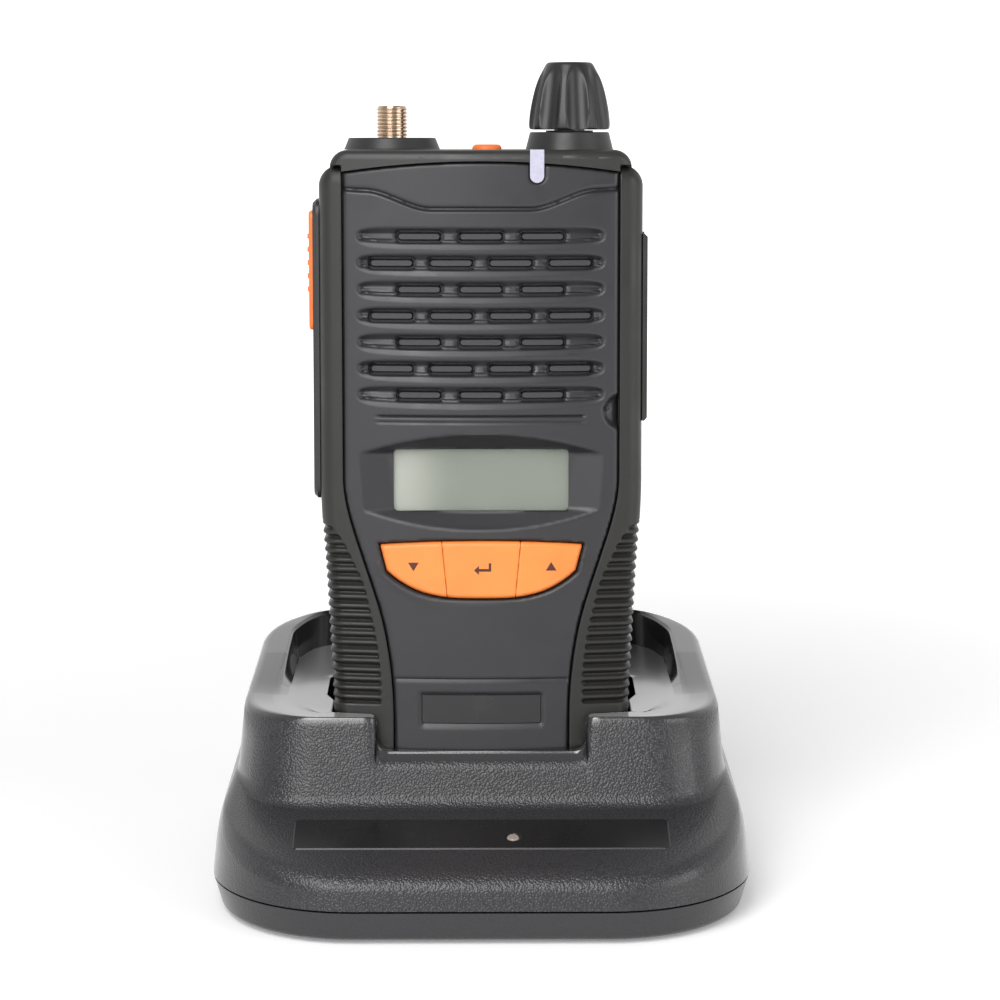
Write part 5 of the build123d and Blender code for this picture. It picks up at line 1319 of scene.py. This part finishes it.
def key_split(name, x, height):
    """Distance outside one key of the three, across the slanted gaps."""
    split = 8.35 - 0.098 * (55 - height)
    return {"key_down": x + split, "key_enter": np.abs(x) - split, "key_up": split - x}[name] + KEY_GAP


def front_key(name):
    """Cap of one key: the shared face, rolled over at the outline and less at the gaps."""
    outline = lambda x, height: np.maximum(key_cluster(x, height), key_split(name, x, height))
    x, height = np.meshgrid(spaced((-20.4, 20.4, 0.3)), spaced((36.9, 48.7, 0.3)))
    x, height = slide_to_edges(x, height, [outline])
    keep = kept_cells(x, height, outline, [])
    rolled = round_over(-key_cluster(x, height), 0.75) + round_over(-key_split(name, x, height), 0.16)
    face = on_radio(x, crown(x) - KEY_PROUD + rolled, height)
    plate(name + "_cap", face, on_radio(x, KEY_FOOT, height), keep,
          name, ORANGE, "key_orange", (name,), crease=60)


def key_sign(name, middle, corners):
    """Printed sign, drawn as a film 0.04 mm proud of the key's face."""
    x, height = (np.array(corners) + middle).T
    rings = [on_radio(x, crown(x) - KEY_PROUD - proud, height) for proud in (-0.1, 0.04)]
    skin(name + "_sign", np.array(rings), name, SIGN, "key_orange")


for key, (middle, corners) in KEY_SIGNS.items():
    front_key(key)
    key_sign(key, middle, corners)

# %% [markdown]
# ## Knob and connector
# Turned parts are skins whose loops are circles. The knob's circles are cut by eight wide flutes, which
# lean in with its flank, and the two curves are blended so that the ridges come out soft. The connector's
# thread has its real pitch of 0.706 mm, drawn as rings, since its slope can't be seen at this size.

# %% Turned pieces
TOP_X = 17.4
TOP_DEPTH = 16.0
KNOB_LOBES = 8
KNOB_BLEND = 0.16
KNOB_PROFILE = [(4.7, 127.9), (7.7, 127.8), (8.02, 128.4), (7.85, 130.9), (7.4, 133.4), (6.85, 135.8),
                (6.1, 137.9), (5.2, 139.5), (4.55, 140.75), (3.9, 141.0), (1.0, 140.9)]
THREAD_PITCH = 0.706
THREAD_TOP = 132.5
THREAD_FOOT = 126.3
THREAD_ROOT = 2.82
THREAD_CREST = 3.165


def turned_loops(x0, profile, radius_at, samples):
    """Loops round an upright axis of the deck, one for each (radius, height) of the profile."""
    turn = np.linspace(0, 2 * pi, samples, endpoint=False)[None]
    radius, height = profile[:, :1], profile[:, 1:]
    radius = radius_at(radius, height, turn)
    return on_radio(x0 + radius * np.cos(turn), TOP_DEPTH + radius * np.sin(turn), height)


def fluted(radius, height, turn):
    """Radius of the knob: its profile or the flute's circle, whichever is less, softly blended."""
    share = (height - 126.8) / 15.2
    reach, flute = 10.1 - 3.0 * share, 2.95 - 0.45 * share
    lobe = 2 * pi / KNOB_LOBES
    off = (turn + lobe / 4) % lobe - lobe / 2
    cut = reach * np.cos(off) - np.sqrt(np.clip(flute**2 - (reach * np.sin(off)) ** 2, 0.0, None))
    cut = np.where(reach * np.abs(np.sin(off)) < flute, cut, reach)
    return -KNOB_BLEND * np.logaddexp(-radius / KNOB_BLEND, -np.maximum(cut, radius * 0.8) / KNOB_BLEND)


def knob():
    """Knob turned from its eased profile and cut by the flutes."""
    corners = np.array(KNOB_PROFILE)[:, None, :]
    profile = eased(corners, [3] * len(corners), [5] * len(corners))[:, 0]
    loops = turned_loops(TOP_X, profile, fluted, 256)
    skin("knob_cap", loops, "knob", KNOB, "knob_plastic", ("volume_knob",), crease=35)


def connector():
    """Hollow threaded barrel: a flange, one trapezoid tooth for each pitch, and the bore."""
    count = int((THREAD_TOP - THREAD_FOOT) / THREAD_PITCH)
    ring = np.arange(count)[:, None] * THREAD_PITCH + THREAD_FOOT + 0.25
    tooth = np.array([THREAD_ROOT, THREAD_CREST, THREAD_CREST, THREAD_ROOT]) + 0 * ring
    teeth = np.stack([tooth, ring + np.array([0.12, 0.27, 0.38, 0.53])], axis=-1).reshape(-1, 2)
    flange = [(2.2, 125.0), (3.5, 125.0), (3.5, THREAD_FOOT), (THREAD_ROOT, THREAD_FOOT)]
    mouth = [(2.8, 132.2), (2.62, THREAD_TOP), (2.25, THREAD_TOP), (2.12, 132.38), (2.12, 128.5)]
    profile = np.concatenate([flange, teeth, mouth])
    loops = turned_loops(-TOP_X, profile, lambda radius, height, turn: radius + 0 * turn, 96)
    ring_skin("connector_thread", loops, "radio", PLATED, "contact_plating",
              ("antenna_connector",), crease=30)


knob()
connector()

# %% [markdown]
# ## Finishes for the imported parts
# The parts whose shape is right as imported keep it and only get their finish. A table from each finish to
# its nodes covers them all, also the ones inside, which show once the radio is out of the charger or a
# cover is off.

# %% Imported parts
PARTS_BY_FINISH = [
    (BASE_PLASTIC, "charger_base_shell"),
    (HOUSING, "main_housing battery_case battery_cover"),
    (BLACK, "contact_block dc_inlet speaker_frame antenna_collar knob_collar ptt_bezel earphone_socket"),
    (BLACK, "microphone_socket battery_latch belt_clip_bracket belt_clip"),
    (RUBBER, "charger_feet jack_cover"),
    (GREY_RUBBER, "housing_seal"),
    (ORANGE, "keypad_mat"),
    (TALK_ORANGE, "top_button ptt_button side_key_upper side_key_lower"),
    (BOARD, "charger_circuit_board main_circuit_board"),
    (PAPER, "speaker_cone"),
    (WHITE, "antenna_insulator"),
    (CELL, "battery_cells"),
    (PANEL, "lcd_panel"),
    (WINDOW, "lcd_window"),
    (PIPE, "led_light_pipe"),
    (LENS, "charge_led_lens"),
    (STEEL, "pin_spring_left pin_spring_right speaker_magnet volume_shaft clip_pin clip_spring"),
    (ZINC, "charger_screws housing_screws"),
    (TIN, "rf_shield microphone push_switches volume_control"),
    (GOLD, "charge_pin_left charge_pin_right antenna_contact battery_contacts"),
]
REDRAWN = ("front_cover grille_cloth side_grip_left side_grip_right charger_top_shell charger_label_plate "
           "front_label key_down key_enter key_up volume_knob antenna_connector").split()


def repaint(node, finish):
    """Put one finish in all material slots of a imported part, or in a new one."""
    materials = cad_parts[node].data.materials
    if not len(materials):
        materials.append(finish.material)
    for index in range(len(materials)):
        materials[index] = finish.material


finished = {node: finish for finish, names in PARTS_BY_FINISH for node in names.split()}
for node, finish in finished.items():
    repaint(node, finish)
print("without a finish:", sorted(set(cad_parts) - set(finished) - set(REDRAWN)))

# %% [markdown]
# ## Camera and lamps
# The set is seen from the front through a long lens, as small goods usually are, and lit by three soft
# lamps: one in front, one above and a weaker one that fills the shadows. Large lamps give soft shadows
# and broad highlights on the bowed plastic.

# %% Camera and lamps
CAMERA_PLACE = (0.0, -601.99, 190.79)
CAMERA_DOWN = 10.8
CAMERA_TURN = -0.355
CAMERA_LENS = 111.35
AIM = (0.0, 0.0, 0.07)


def make_camera():
    """Camera in front of the set, looking slightly down."""
    data = bpy.data.cameras.new("camera")
    data.lens = CAMERA_LENS
    data.sensor_width = 36.0
    camera = bpy.data.objects.new("camera", data)
    camera.location = [v * MM for v in CAMERA_PLACE]
    camera.rotation_euler = (radians(90 - CAMERA_DOWN), 0, radians(CAMERA_TURN))
    bpy.context.scene.collection.objects.link(camera)
    bpy.context.scene.camera = camera


def soft_lamp(name, place, size, watts):
    """Square area lamp aimed at the middle of the object."""
    data = bpy.data.lights.new(name, "AREA")
    data.size = size
    data.energy = watts
    lamp = bpy.data.objects.new(name, data)
    lamp.location = place
    aim = np.array(AIM) - np.array(place)
    tilt = np.arctan2(np.hypot(aim[0], aim[1]), -aim[2])
    lamp.rotation_euler = (tilt, 0, np.arctan2(aim[1], aim[0]) - pi / 2)
    bpy.context.scene.collection.objects.link(lamp)


make_camera()
soft_lamp("key_lamp", (-0.3, -0.95, 0.6), 0.7, 8)
soft_lamp("upper_lamp", (-0.25, -0.6, 1.0), 0.45, 5)
soft_lamp("fill_lamp", (0.85, -0.55, 0.4), 0.6, 3)
bpy.context.scene.view_settings.view_transform = "Standard"
print("camera", CAMERA_PLACE, "mm, lens", CAMERA_LENS, "mm")

# %% [markdown]
# ## Pale floor and backdrop
# The floor and the backdrop look white by their own colour, seen from the camera and in reflections, so
# the lamps can stay at a plain level. Brighter lamps would whiten them too, but would bleach the plastic.

# %% Floor and backdrop
ROOM = 0.4
FLOOR_REACH = 30.0


def pale_world(light):
    """Studio round the object: a white backdrop, and a dimmer room in front of it and overhead.

    Light that reaches dull surfaces is even. A camera ray and one through glass meet white, and gloss shows
    the white backdrop behind and to the sides and the dimmer room elsewhere.
    """
    world = bpy.data.worlds.new("pale_world")
    bpy.context.scene.world = world
    world.use_nodes = True
    wiring = Wiring(world.node_tree)
    _, along, up = wiring.axes("Generated")
    straight = wiring.seen_by("Camera", "Transmission")
    gloss = wiring.seen_by("Glossy") * (1 - straight)
    backdrop = ROOM + (1 - ROOM) * (along.step(-0.4, 0.3) * (1 - up.step(0.5, 0.95)))
    strength = straight + gloss * backdrop + light * (1 - straight - gloss)
    background = world.node_tree.nodes["Background"]
    background.inputs["Color"].default_value = (1, 1, 1, 1)
    world.node_tree.links.new(strength.out, background.inputs["Strength"])


def pale_floor():
    """Wide flat floor that looks white away from the object and keeps the object's shadow close to it."""
    mesh = bpy.data.meshes.new("floor")
    square = [(x * FLOOR_REACH, y * FLOOR_REACH, 0) for x, y in ((-1, -1), (1, -1), (1, 1), (-1, 1))]
    mesh.from_pydata(square, [], [(0, 1, 2, 3)])
    floor = bpy.data.objects.new("floor", mesh)
    bpy.context.scene.collection.objects.link(floor)
    finish = Finish("floor_white", Emission_Strength=1.0, Roughness=0.7)
    finish.set("Base Color", finish.mix(finish.noise(400.0), (0.86, 0.86, 0.86, 1), (0.9, 0.9, 0.9, 1)))
    across, along, _ = finish.axes()
    far = ((across * across + along * along) ** 0.5).step(0.12, 0.7)
    seen = finish.seen_by("Camera", "Glossy", "Transmission")
    finish.set("Emission Color", finish.mix(seen * (0.2 + 0.8 * far), (0, 0, 0, 1), (1, 1, 1, 1)))
    floor.data.materials.append(finish.material)


pale_world(0.38)
pale_floor()
print("the floor reaches", FLOOR_REACH, "m each way")
